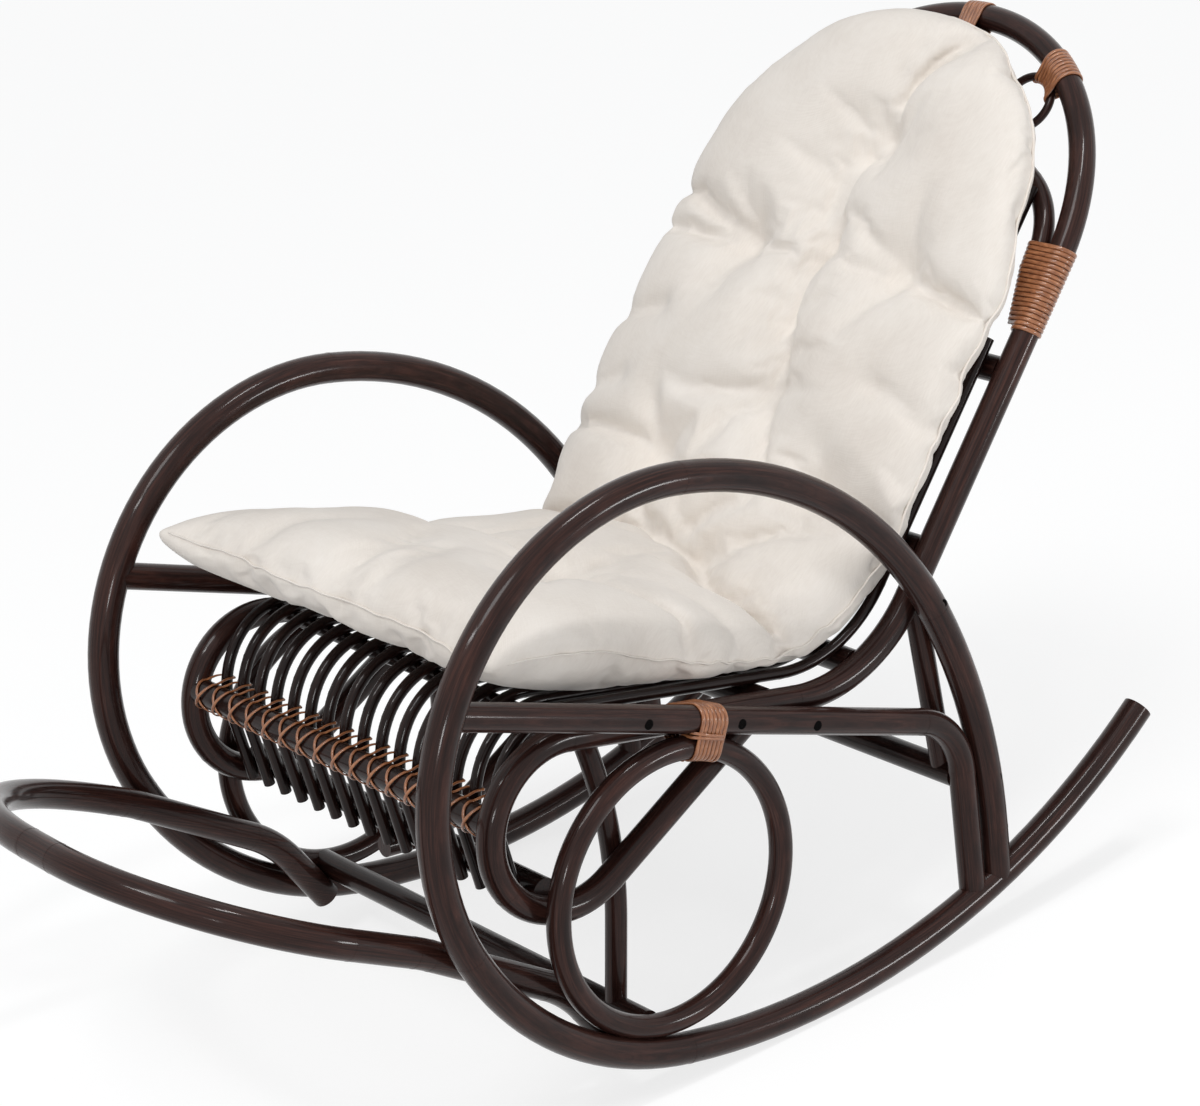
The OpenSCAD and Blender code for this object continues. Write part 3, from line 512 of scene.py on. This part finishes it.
def lashings():
    """One strand for each slat: it crosses over the front of the bar, as arcs of 14.5 and 16.4 mm, and passes
    behind the slat above and below. Its knots lie round the bar, with y to the back and z up."""
    tilt = math.radians(2.5)
    back, top = np.array([math.cos(tilt), math.sin(tilt)]), np.array([-math.sin(tilt), math.cos(tilt)])

    def on_bar(v, start=0.0):
        return np.concatenate([v[:, :1], v[:, 1:2] * back + v[:, 2:3] * top + start], 1)

    count, bar_r, strand = 150, 14.5, 1.9
    round_front = np.radians(np.linspace(-105, 105, 9))
    pieces = []
    for k in range(SLATS):
        middle = SLAT_PITCH * ((SLATS - 1) / 2 - k)
        w = 9.0 + np.random.default_rng(40 + k).normal(0, 0.5)
        rising = [(middle - w * math.sin(a) * 1.05, -bar_r * math.cos(a), bar_r * math.sin(a))
                  for a in round_front]
        falling = [(middle + w * math.sin(a) * 1.05, -(bar_r + strand) * math.cos(a), bar_r * math.sin(a))
                   for a in round_front[::-1]]
        behind = [(middle - w * 0.9, 15, 15.5), (middle - 5, 26.5, 14), (middle + 5, 26.5, 14),
                  (middle + w * 0.9, 15, 15.5)]
        below = [(x, y, -z) for x, y, z in behind]
        path = smooth_loop(rising + behind + falling + below, count)
        tangent = unit(np.roll(path, -1, 0) - np.roll(path, 1, 0))
        out = path - np.stack([path[:, 0], np.clip(path[:, 1], 0, 12), path[:, 2] * 0], 1)
        out = unit(out - (out * tangent).sum(1, keepdims=True) * tangent)
        across = unit(np.cross(tangent, out))
        pieces.append(swept(f"lashing_{k + 1:02d}", on_bar(path, ROLL_MIDDLE), on_bar(across), on_bar(out),
                            strand_profile(3.4, 1.5), binding, closed=True))
    return join("slat_lashings", pieces)


lashing = lashings()
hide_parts("bar_lashing")
for piece, node in made:
    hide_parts(node)


# Cushion: d runs along the pad from the top of the back to the front of the seat, x across, h up from below.

PAD = 1128.0
PAD_START = np.array([534.6, 950.4])


def pad_table(curl, stretch):
    """The underside's line on the side view, one row each millimetre: a straight back, a bend of 63 degrees
    into the seat and a lift of 12 degrees in front, with an end that curls by more and reaches further."""
    d = np.arange(0, PAD + 1)
    turn = 63 * np.clip((d - 618.5) / 152.3, 0, 1) + 12 * np.clip((d - 984.7) / 73.3, 0, 1)
    heading = np.radians(237.8 - turn - curl * np.clip((d - 1020) / 90, 0, 1))
    pace = 1 + stretch * np.clip((d - 1000) / 60, 0, 1)
    step = np.stack([np.cos(heading) * pace, np.sin(heading) * pace], 1)
    line = PAD_START + np.concatenate([[[0, 0]], np.cumsum((step[1:] + step[:-1]) / 2, 0)])
    return line, np.stack([np.sin(heading), -np.cos(heading)], 1)


NEAR_LINE, FAR_LINE = pad_table(-4, 0.24), pad_table(9, 0.95)


def pad_frame(d, x):
    """Place and upward direction of the underside: the front edge lifts on the right, t = 1/2 - x / 490."""
    t = np.clip(0.5 - x / 490, 0, 1)[..., None]
    k = np.clip(d, 0, PAD)
    i = np.minimum(k.astype(int), int(PAD) - 1)
    u = (k - i)[..., None]
    near, far = ([row[i] * (1 - u) + row[i + 1] * u for row in table] for table in (NEAR_LINE, FAR_LINE))
    return near[0] * (1 - t) + far[0] * t, unit(near[1] * (1 - t) + far[1] * t)


def round_end(e, p):
    """Rises from 0 to 1 like the quarter of a fat ellipse: (1 - (1 - e)^p)^(1/p)."""
    return (1 - (1 - np.clip(e, 0, 1)) ** p) ** (1 / p)


def bump(v):
    """One smooth hump: cos^2 of a quarter turn each way."""
    return np.cos(np.pi / 2 * np.clip(v, -1, 1)) ** 2


def seam_height(d):
    return 26 + 18 * bump((d - 1030) / 110) - 13 * bump((d - 820) / 90)


def half_width(d):
    """252 mm, wider at the waist, a little narrower on the seat and uneven by two sines, with a round top."""
    waves = 3 * np.sin(d / 41) + 2 * np.sin(d / 23 + 1)
    flat = 252 + 9 * bump((d - 480) / 190) - 5 * np.clip((d - 600) / 120, 0, 1) + waves
    return flat * round_end((d - 28) / 235, 1.95)


# Stitched tufts (d, x, depth, spread), and folds (depth, width, points) with points (d, x).
TUFTS = [(178, 28, 30, 30), (317, -98, 30, 30), (315, 131, 28, 30), (470, 37, 20, 24), (569, -90, 28, 28),
         (560, 150, 18, 26), (700, 45, 26, 28), (930, 75, 22, 26), (905, -110, 20, 26), (700, -150, 14, 24)]
FOLDS = [
    (26, 13, [(70, 66), (110, 46), (175, 25)]), (12, 9, [(75, 28), (120, 20), (170, 20)]),
    (34, 15, [(175, 25), (217, 0), (266, -3), (310, 18), (345, 3), (399, 12), (447, 34), (487, 38), (512, 50),
              (560, 80)]),
    (22, 12, [(317, -98), (300, -140), (280, -195), (272, -262)]),
    (20, 12, [(317, -98), (323, -160), (322, -205), (326, -265)]),
    (14, 12, [(317, -98), (345, -104), (385, -96)]), (12, 12, [(317, -98), (322, -60), (312, 15)]),
    (24, 12, [(315, 131), (326, 181), (338, 240), (352, 275)]), (13, 12, [(315, 131), (286, 78), (262, 38)]),
    (13, 12, [(315, 131), (350, 122), (390, 108)]), (9, 12, [(315, 131), (270, 133), (235, 138)]),
    (16, 11, [(470, 37), (482, 4), (492, -70), (486, -110)]), (12, 11, [(470, 37), (515, -8), (545, -18)]),
    (15, 12, [(441, 165), (450, 207), (468, 265)]),
    (22, 11, [(569, -90), (560, -121), (556, -192), (562, -262)]),
    (14, 11, [(569, -90), (524, -118), (495, -116)]), (12, 11, [(569, -90), (580, -40), (570, 20)]),
    (16, 12, [(415, -165), (425, -205), (432, -262)]), (13, 12, [(500, -180), (515, -220), (520, -262)]),
    (20, 12, [(560, 150), (575, 200), (570, 262)]), (10, 12, [(560, 150), (520, 140), (490, 145)]),
    (26, 13, [(700, 45), (690, -10), (668, -55), (640, -75), (600, -85)]),
    (12, 10, [(690, 5), (650, 0), (616, -14)]),
    (16, 11, [(690, 20), (640, 15), (610, 40), (590, 85)]), (12, 11, [(650, 95), (615, 150), (595, 210)]),
    (30, 13, [(700, 45), (745, 85), (772, 130), (772, 180), (778, 225), (800, 262)]),
    (26, 14, [(668, -55), (690, -110), (694, -160), (700, -210), (700, -262)]),
    (15, 12, [(930, 75), (885, 62), (835, 48), (790, 40)]), (15, 12, [(930, 75), (985, 95), (1040, 92)]),
    (12, 12, [(930, 75), (925, 140), (910, 200)]), (14, 12, [(905, -110), (850, -100), (790, -120)]),
    (12, 12, [(905, -110), (905, -170), (890, -240)]), (10, 12, [(905, -110), (925, -40), (932, 30)]),
    (17, 11, [(1128, 20), (1085, 5), (1045, -30), (1015, -55)]),
    (14, 10, [(1128, 60), (1080, 45), (1030, 5)]),
    (9, 12, [(1128, -110), (1085, -100), (1050, -105)]), (8, 11, [(1128, -190), (1085, -180), (1050, -185)]),
    (13, 12, [(830, 245), (850, 200), (862, 150)]), (10, 10, [(905, 250), (900, 215), (905, 190)]),
]


def to_line(d, x, points):
    """Distance to a polyline of listed points and the share of its length at the nearest place."""
    p = np.asarray(points, float)
    q = np.stack([d, x], -1)
    best, share = np.full(d.shape, 1e9), np.zeros(d.shape)
    for k, (a, b) in enumerate(zip(p[:-1], p[1:])):
        u = np.clip(((q - a) @ (b - a)) / ((b - a) @ (b - a)), 0, 1)
        far = np.linalg.norm(q - a - u[..., None] * (b - a), axis=-1)
        near = far < best
        best, share = np.where(near, far, best), np.where(near, (k + u) / (len(p) - 1), share)
    return best, share


def drawn_in(d, x):
    """Depth of tufts and folds: each tuft is depth / (1 + (r / spread)^2)^1.5, and each fold is
    depth * exp(-r / width), sharp at its middle. Of all the deepest counts, with a part of the rest."""
    depths = [depth / (1 + ((d - td) ** 2 + (x - tx) ** 2) / spread ** 2) ** 1.5
              for td, tx, depth, spread in TUFTS]
    for depth, width, points in FOLDS:
        r, u = to_line(d, x, points)
        r = np.sqrt(r ** 2 + 2.2 ** 2) - 2.2
        depths.append(depth * (0.35 + 0.65 * np.cos(u * 1.45)) * np.exp(-r / width))
    depths = np.stack(depths)
    return depths.max(0) + 7 * np.tanh(depths.sum(0) / 30)


def pad_skin(rows, round_count, inset):
    """The cover: x = half width * |cos a|^0.8 and, over the seam, h = seam + rise * |sin a|^0.7. Tufts and
    folds draw it in, and small waves run along its lower side."""
    u = np.linspace(0, 1, rows)
    d = 28.5 + (PAD - 29) * (u - np.sin(TAU * u) / TAU * 0.55)
    a = (np.arange(round_count) + 0.5) * TAU / round_count
    d, a = np.meshgrid(d, a, indexing="ij")
    cos, sin = np.cos(a), np.sin(a)
    ends = np.minimum(round_end((d - 28) / 62, 2.2), round_end((PAD - d) / 62, 2.1))
    x = (half_width(d) - inset) * np.sign(cos) * np.abs(cos) ** 0.8
    crown = 80 + 18 * bump((d - 990) / 190) + 5 * np.sin(d / 57) * np.cos(x / 60)
    seam = seam_height(d)
    top = seam + (crown - inset - seam) * ends * np.abs(sin) ** 0.7
    h = np.where(sin > 0, top, seam - seam * ends * np.abs(sin) ** 0.45)
    dent = drawn_in(d, x) * np.clip((h - seam * 0.5) / 30, 0, 1) ** 0.8
    rim = np.clip(np.abs(x) / half_width(d) * 6 - 5, 0, 1) * ends
    under = np.clip(1 - h / seam, 0, 1) * np.clip(h / 6, 0, 1) * rim
    x = x - np.sign(x) * under * (5 + 5 * np.sin(d / 15 + 3 * np.sin(d / 61)) + 2 * np.sin(d / 7.5))
    x = x - np.sign(x) * dent * rim * 0.42
    h = h - dent * (1 - 0.6 * rim) * ends * np.clip((top - 10) / 40, 0, 1)
    return d, x, h


def pad_points(d, x, h):
    """Upright points of the pad: the underside's line, raised by h."""
    yz, lift = pad_frame(d, x)
    yz = yz + h[..., None] * lift
    return np.stack([x, yz[..., 0], yz[..., 1]], -1)


def unrocked(points):
    """The reverse of rocked: metres on the scene to millimetres on the upright chair."""
    p = np.asarray(points, float) * 1000
    c, s = math.cos(STANCE), math.sin(STANCE)
    y, z = p[:, 1], p[:, 2] - ARC_Z
    return np.stack([p[:, 0], y * c - z * s, z * c + y * s + ARC_Z], -1)


def pad_measure(p):
    """d, x and h of upright points: the nearest of rows 24 mm apart, then of rows 2 mm apart round it."""
    best = np.full(len(p), PAD / 2)
    for reach, step in ((PAD / 2, 24.0), (24, 2.0)):
        gaps, middle = np.full(len(p), 1e12), best.copy()
        for shift in np.arange(-reach, reach + 1, step):
            d = np.clip(middle + shift, 0, PAD)
            gap = ((p[:, 1:] - pad_frame(d, p[:, 0])[0]) ** 2).sum(1)
            best = np.where(gap < gaps, d, best)
            gaps = np.minimum(gap, gaps)
    yz, lift = pad_frame(best, p[:, 0])
    return np.stack([best, p[:, 0], ((p[:, 1:] - yz) * lift).sum(1)])


def points_of(mesh):
    """The points of a mesh as rows of x, y and z."""
    flat = np.empty(len(mesh.vertices) * 3, np.float32)
    mesh.vertices.foreach_get("co", flat)
    return flat.reshape(-1, 3).astype(float)


def settle(piece):
    """Puts a piece's modifiers into its mesh."""
    bpy.context.view_layer.update()
    shaped = piece.evaluated_get(bpy.context.evaluated_depsgraph_get())
    mesh = bpy.data.meshes.new_from_object(shaped)
    piece.modifiers.clear()
    old, piece.data = piece.data, mesh
    mesh.name = old.name
    bpy.data.meshes.remove(old)


def set_points(piece, upright):
    """Rocks upright points and puts them in the place of the piece's own."""
    piece.data.vertices.foreach_set("co", rocked(upright).astype(np.float32).ravel())
    piece.data.update()


def hold(piece, share):
    """A vertex group in tenths of full weight."""
    group = piece.vertex_groups.new(name="held")
    for level in range(1, 11):
        chosen = np.flatnonzero(np.round(share * 10) == level)
        if len(chosen):
            group.add(chosen.tolist(), level / 10, "REPLACE")
    return group.name


def blow_up(piece):
    """Swells the cover as cloth with its tufts, folds and underside held. A point that moves by r ends up at
    most * tanh(r / most) from its start, and the sides are eased back to the pad's own half width."""
    frames, most = 20, 0.018
    start = points_of(piece.data)
    d, x, h = pad_measure(unrocked(start))
    deep = np.clip((drawn_in(d, x) - 15) / 12, 0, 1) ** 2 * (h > 18)
    held = hold(piece, np.maximum(deep, np.clip((4 - h) / 3, 0, 1)))
    cloth = piece.modifiers.new("cloth", "CLOTH")
    s = cloth.settings
    s.quality, s.mass, s.air_damping = 5, 0.25, 2.0
    s.tension_stiffness = s.compression_stiffness = 18
    s.shear_stiffness, s.bending_stiffness = 8, 1.2
    s.use_pressure, s.uniform_pressure_force = True, 4.0
    s.shrink_min = s.shrink_max = -0.05
    s.vertex_group_mass = held
    s.effector_weights.gravity = 0
    cloth.collision_settings.use_collision = False
    cloth.collision_settings.use_self_collision = False
    cloth.point_cache.frame_start, cloth.point_cache.frame_end = 1, frames
    for step in range(1, frames + 1):
        scene.frame_set(step)
    settle(piece)
    scene.frame_set(1)
    move = points_of(piece.data) - start
    far = np.linalg.norm(move, axis=1, keepdims=True)
    move = move / np.maximum(far, 1e-9) * most * np.tanh(far / most)
    p = unrocked(start + move)
    side, widest, soft = np.abs(p[:, 0]), 250 + 8 * np.clip((680 - d) / 60, 0, 1), 8
    side = np.where(side > widest, widest + soft * np.tanh((side - widest) / soft), side)
    p[:, 0] = np.sign(p[:, 0]) * side
    set_points(piece, p)


def cushion():
    """The pad: its drawn-in cover is remeshed, blown up, made finer and kept above its underside."""
    rows, count, inset = 230, 132, 9.0
    quads, caps = tube_faces(rows, count)
    skin = rocked(pad_points(*pad_skin(rows, count, inset)))
    piece = mesh_piece("cushion_cover", skin, list(quads) + caps, cotton)
    outwards = bmesh.new()
    outwards.from_mesh(piece.data)
    bmesh.ops.recalc_face_normals(outwards, faces=outwards.faces)
    outwards.to_mesh(piece.data)
    outwards.free()
    remesh = piece.modifiers.new("even", "REMESH")
    remesh.mode, remesh.voxel_size = "VOXEL", 0.006
    settle(piece)
    blow_up(piece)
    smooth = piece.modifiers.new("finer", "SUBSURF")
    smooth.levels = smooth.render_levels = 1
    settle(piece)
    p = unrocked(points_of(piece.data))
    d, x, h = pad_measure(p)
    lift = pad_frame(d, x)[1]
    p[:, 1:] += np.maximum(0.4 - h, 0)[:, None] * lift
    piece.data.polygons.foreach_set("use_smooth", np.full(len(piece.data.polygons), True))
    set_points(piece, p)
    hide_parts("cushion")
    return piece


def pad_outline():
    """d and x all round the pad, 60 steps over its round top, 330 down each side and 120 along the front."""
    run = np.concatenate([28.6 + np.linspace(0, 1, 60) ** 2 * 60, np.linspace(91, 1112, 330)])
    side = np.stack([run, half_width(run)], 1)
    front = np.stack([np.full(120, 1120.0), np.linspace(236, -236, 120)], 1)
    return np.concatenate([side, front, (side * [1, -1])[::-1]])


def seam(pad):
    """A sewn edge all round: for each place on the pad's outline, the mean of the cover's four outermost
    points near the seam's height, smoothed six times by (before + 2 here + after) / 4."""
    p = unrocked(points_of(pad.data))
    d, x, h = pad_measure(p)
    yz, lift = pad_frame(d, x)
    ahead = np.stack([-lift[:, 1], lift[:, 0]], 1)
    d = d + ((p[:, 1:] - yz) * ahead).sum(1)
    outline = pad_outline()
    step = unit(np.roll(outline, -1, 0) - np.roll(outline, 1, 0))
    outward = np.stack([-step[:, 1], step[:, 0]], 1)
    outward *= np.where((outward * (outline - [560, 0])).sum(1, keepdims=True) < 0, -1, 1)
    band = np.flatnonzero(np.abs(h - seam_height(np.clip(d, 0, PAD))) < 6)
    at = np.stack([d[band], x[band]], 1)
    picked = []
    for place, along, out in zip(outline, step, outward):
        gap = at - place
        reach = np.where((np.abs(gap @ along) < 5) & (np.abs(gap @ out) < 60), gap @ out, -1e3)
        picked.append(p[band[np.argsort(reach)[-4:]]].mean(0))
    path = np.array(picked)
    for _ in range(6):
        path = (np.roll(path, 1, 0) + path * 2 + np.roll(path, -1, 0)) / 4
    along = unit(np.roll(path, -1, 0) - np.roll(path, 1, 0))
    lift = pad_frame(np.clip(outline[:, 0], 0, PAD), path[:, 0])[1]
    across = np.concatenate([np.zeros((len(path), 1)), lift], 1)
    across = unit(across - (across * along).sum(1, keepdims=True) * along)
    out = np.cross(across, along)
    out *= np.where((out * (path - path.mean(0))).sum() < 0, -1, 1)
    turn = np.linspace(0, TAU, 8, endpoint=False)
    welt = np.stack([1.1 * np.cos(turn), 0.7 + 1.5 * np.sin(turn)], 1)
    swept("cushion_seam", path, across, out, welt, cotton, closed=True)


seam(cushion())


# Screws on the left side, as x, y and z of the middle of each head on the cane's surface.
SCREWS = [(292.1, -150, 372), (292.1, -33, 346), (292.1, 66, 322), (294.6, 232, 414), (294.6, 320, 209),
          (294.6, -81, 19)]
HEAD_R = 5.2


def screws():
    """Small countersunk heads on both sides: over a disc of radius HEAD_R, height = 0.3 + 0.35 (r / HEAD_R)^2,
    less in the cross slot and at the rim, which is let in."""
    r = np.array([0.02, 0.6, 1.1, 1.7, 2.3, 3.1, 4.4, HEAD_R])
    corners = 24
    rr, aa = np.meshgrid(r, np.arange(corners) * TAU / corners, indexing="ij")
    u, v = rr * np.cos(aa), rr * np.sin(aa)
    slot = (np.minimum(np.abs(u), np.abs(v)) < 0.55) & (rr < 2.6)
    lift = 0.3 + 0.35 * (rr / HEAD_R) ** 2 - 0.2 * slot - 1.0 * (rr > 5)
    quads, caps = tube_faces(len(r), corners)
    pieces = []
    for side in (1, -1):
        for x, y, z in SCREWS:
            grid = rocked(np.stack([side * (x + lift), y + u * side, z + v], -1))
            # The heads stand proud of the cane; their near-black finish paints the shade of a sunk hole.
            pieces.append(mesh_piece(f"screw_{len(pieces)}", grid, list(quads) + caps[:1], iron))
    heads = join("screw_heads", pieces)
    outwards = bmesh.new()
    outwards.from_mesh(heads.data)
    for face in outwards.faces:
        if face.normal.x * face.calc_center_median().x < 0:
            face.normal_flip()
    outwards.to_mesh(heads.data)
    outwards.free()


screws()


# Camera at the photograph's place, turned with the chair: its focal length and the photograph's width in
# pixels, its place in millimetres, and the directions ahead of it and to its right.

FOCAL, WIDTH = 3400.0, 1200.0
EYE = [2575.7, -2085.3, 1437.9]
AHEAD = np.array([-0.7401, 0.6079, -0.2875])
RIGHT = np.array([0.6347, 0.7727, 0.0])

eye = rocked(EYE)
axes = turned(np.stack([RIGHT, np.cross(RIGHT, AHEAD), -AHEAD]))
cam = bpy.data.cameras.new("view")
cam.sensor_fit, cam.sensor_width = "HORIZONTAL", 36.0
cam.lens = FOCAL / WIDTH * cam.sensor_width
cam.clip_end = 100
camera = bpy.data.objects.new("view", cam)
scene.collection.objects.link(camera)
camera.matrix_world = Matrix([[*axes[:, i], eye[i]] for i in range(3)] + [[0, 0, 0, 1]])
scene.camera = camera


def sun(name, towards, strength, spread):
    """Soft parallel light that travels along towards; spread is its width in degrees."""
    data = bpy.data.lights.new(name, "SUN")
    data.energy, data.angle = strength, math.radians(spread)
    o = bpy.data.objects.new(name, data)
    scene.collection.objects.link(o)
    o.rotation_euler = Vector(towards).to_track_quat("-Z", "Y").to_euler()


def softbox(name, place, aim, size, power):
    """A rectangle of light, with its sizes in metres, that faces aim."""
    data = bpy.data.lights.new(name, "AREA")
    data.shape, data.size, data.size_y, data.energy = "RECTANGLE", size[0], size[1], power
    o = bpy.data.objects.new(name, data)
    scene.collection.objects.link(o)
    o.location = place
    o.rotation_euler = (Vector(aim) - Vector(place)).to_track_quat("-Z", "Y").to_euler()


sun("high sun", (-0.25, 0.55, -1.0), 0.88, 20)
softbox("overhead", (0.85, 0.25, 2.9), (0, 0.1, 0.5), (0.62, 0.17), 14)
softbox("window", (0.4, -2.0, 2.3), (0, 0.0, 0.5), (0.6, 0.16), 8)
softbox("low front", (2.3, -2.3, 0.8), (0, 0.0, 0.45), (0.3, 0.4), 13)
softbox("low side", (2.6, 1.4, 0.55), (0, 0.0, 0.45), (0.5, 0.32), 15)


def backdrop(tree):
    """1 for camera, glossy and transmission rays: the largest of the three."""
    light = tree.nodes.new("ShaderNodeLightPath")
    seen = light.outputs["Is Camera Ray"]
    for other in ("Is Glossy Ray", "Is Transmission Ray"):
        either = tree.nodes.new("ShaderNodeMath")
        either.operation = "MAXIMUM"
        tree.links.new(seen, either.inputs[0])
        tree.links.new(light.outputs[other], either.inputs[1])
        seen = either.outputs[0]
    return seen


def floor():
    """A pale disc. Seen by the camera it glows by 0.76 and adds the light that falls on it, so shadows stay
    faint."""
    f = Finish("pale floor", Roughness=1.0, Specular_IOR_Level=0.0)
    f.shader.inputs["Base Color"].default_value = (0.8, 0.8, 0.8, 1)
    tree = f.tree
    pale = tree.nodes.new("ShaderNodeBsdfDiffuse")
    pale.inputs["Color"].default_value = (0.30, 0.30, 0.30, 1)
    glow = tree.nodes.new("ShaderNodeEmission")
    glow.inputs["Strength"].default_value = 0.76
    both = tree.nodes.new("ShaderNodeAddShader")
    tree.links.new(pale.outputs[0], both.inputs[0])
    tree.links.new(glow.outputs[0], both.inputs[1])
    mix = tree.nodes.new("ShaderNodeMixShader")
    tree.links.new(backdrop(tree), mix.inputs[0])
    tree.links.new(f.shader.outputs[0], mix.inputs[1])
    tree.links.new(both.outputs[0], mix.inputs[2])
    tree.links.new(mix.outputs[0], tree.nodes["Material Output"].inputs[0])
    around = np.linspace(0, TAU, 96, endpoint=False)
    rim = 12 * np.stack([np.cos(around), np.sin(around), 0 * around], 1)
    mesh = bpy.data.meshes.new("floor")
    mesh.from_pydata(rim.tolist(), [], [list(range(len(rim)))])
    mesh.materials.append(f.material)
    o = bpy.data.objects.new("floor", mesh)
    scene.collection.objects.link(o)


floor()
world = bpy.data.worlds.new("studio")
scene.world = world
world.use_nodes = True
studio = world.node_tree
low = studio.nodes["Background"]
low.inputs["Color"].default_value, low.inputs["Strength"].default_value = (0.96, 0.98, 1.0, 1), 0.40
white = studio.nodes.new("ShaderNodeBackground")
white.inputs["Color"].default_value, white.inputs["Strength"].default_value = (1, 1, 1, 1), 1.0
mix = studio.nodes.new("ShaderNodeMixShader")
studio.links.new(backdrop(studio), mix.inputs[0])
studio.links.new(low.outputs[0], mix.inputs[1])
studio.links.new(white.outputs[0], mix.inputs[2])
studio.links.new(mix.outputs[0], studio.nodes["World Output"].inputs[0])
scene.view_settings.view_transform = "Standard"
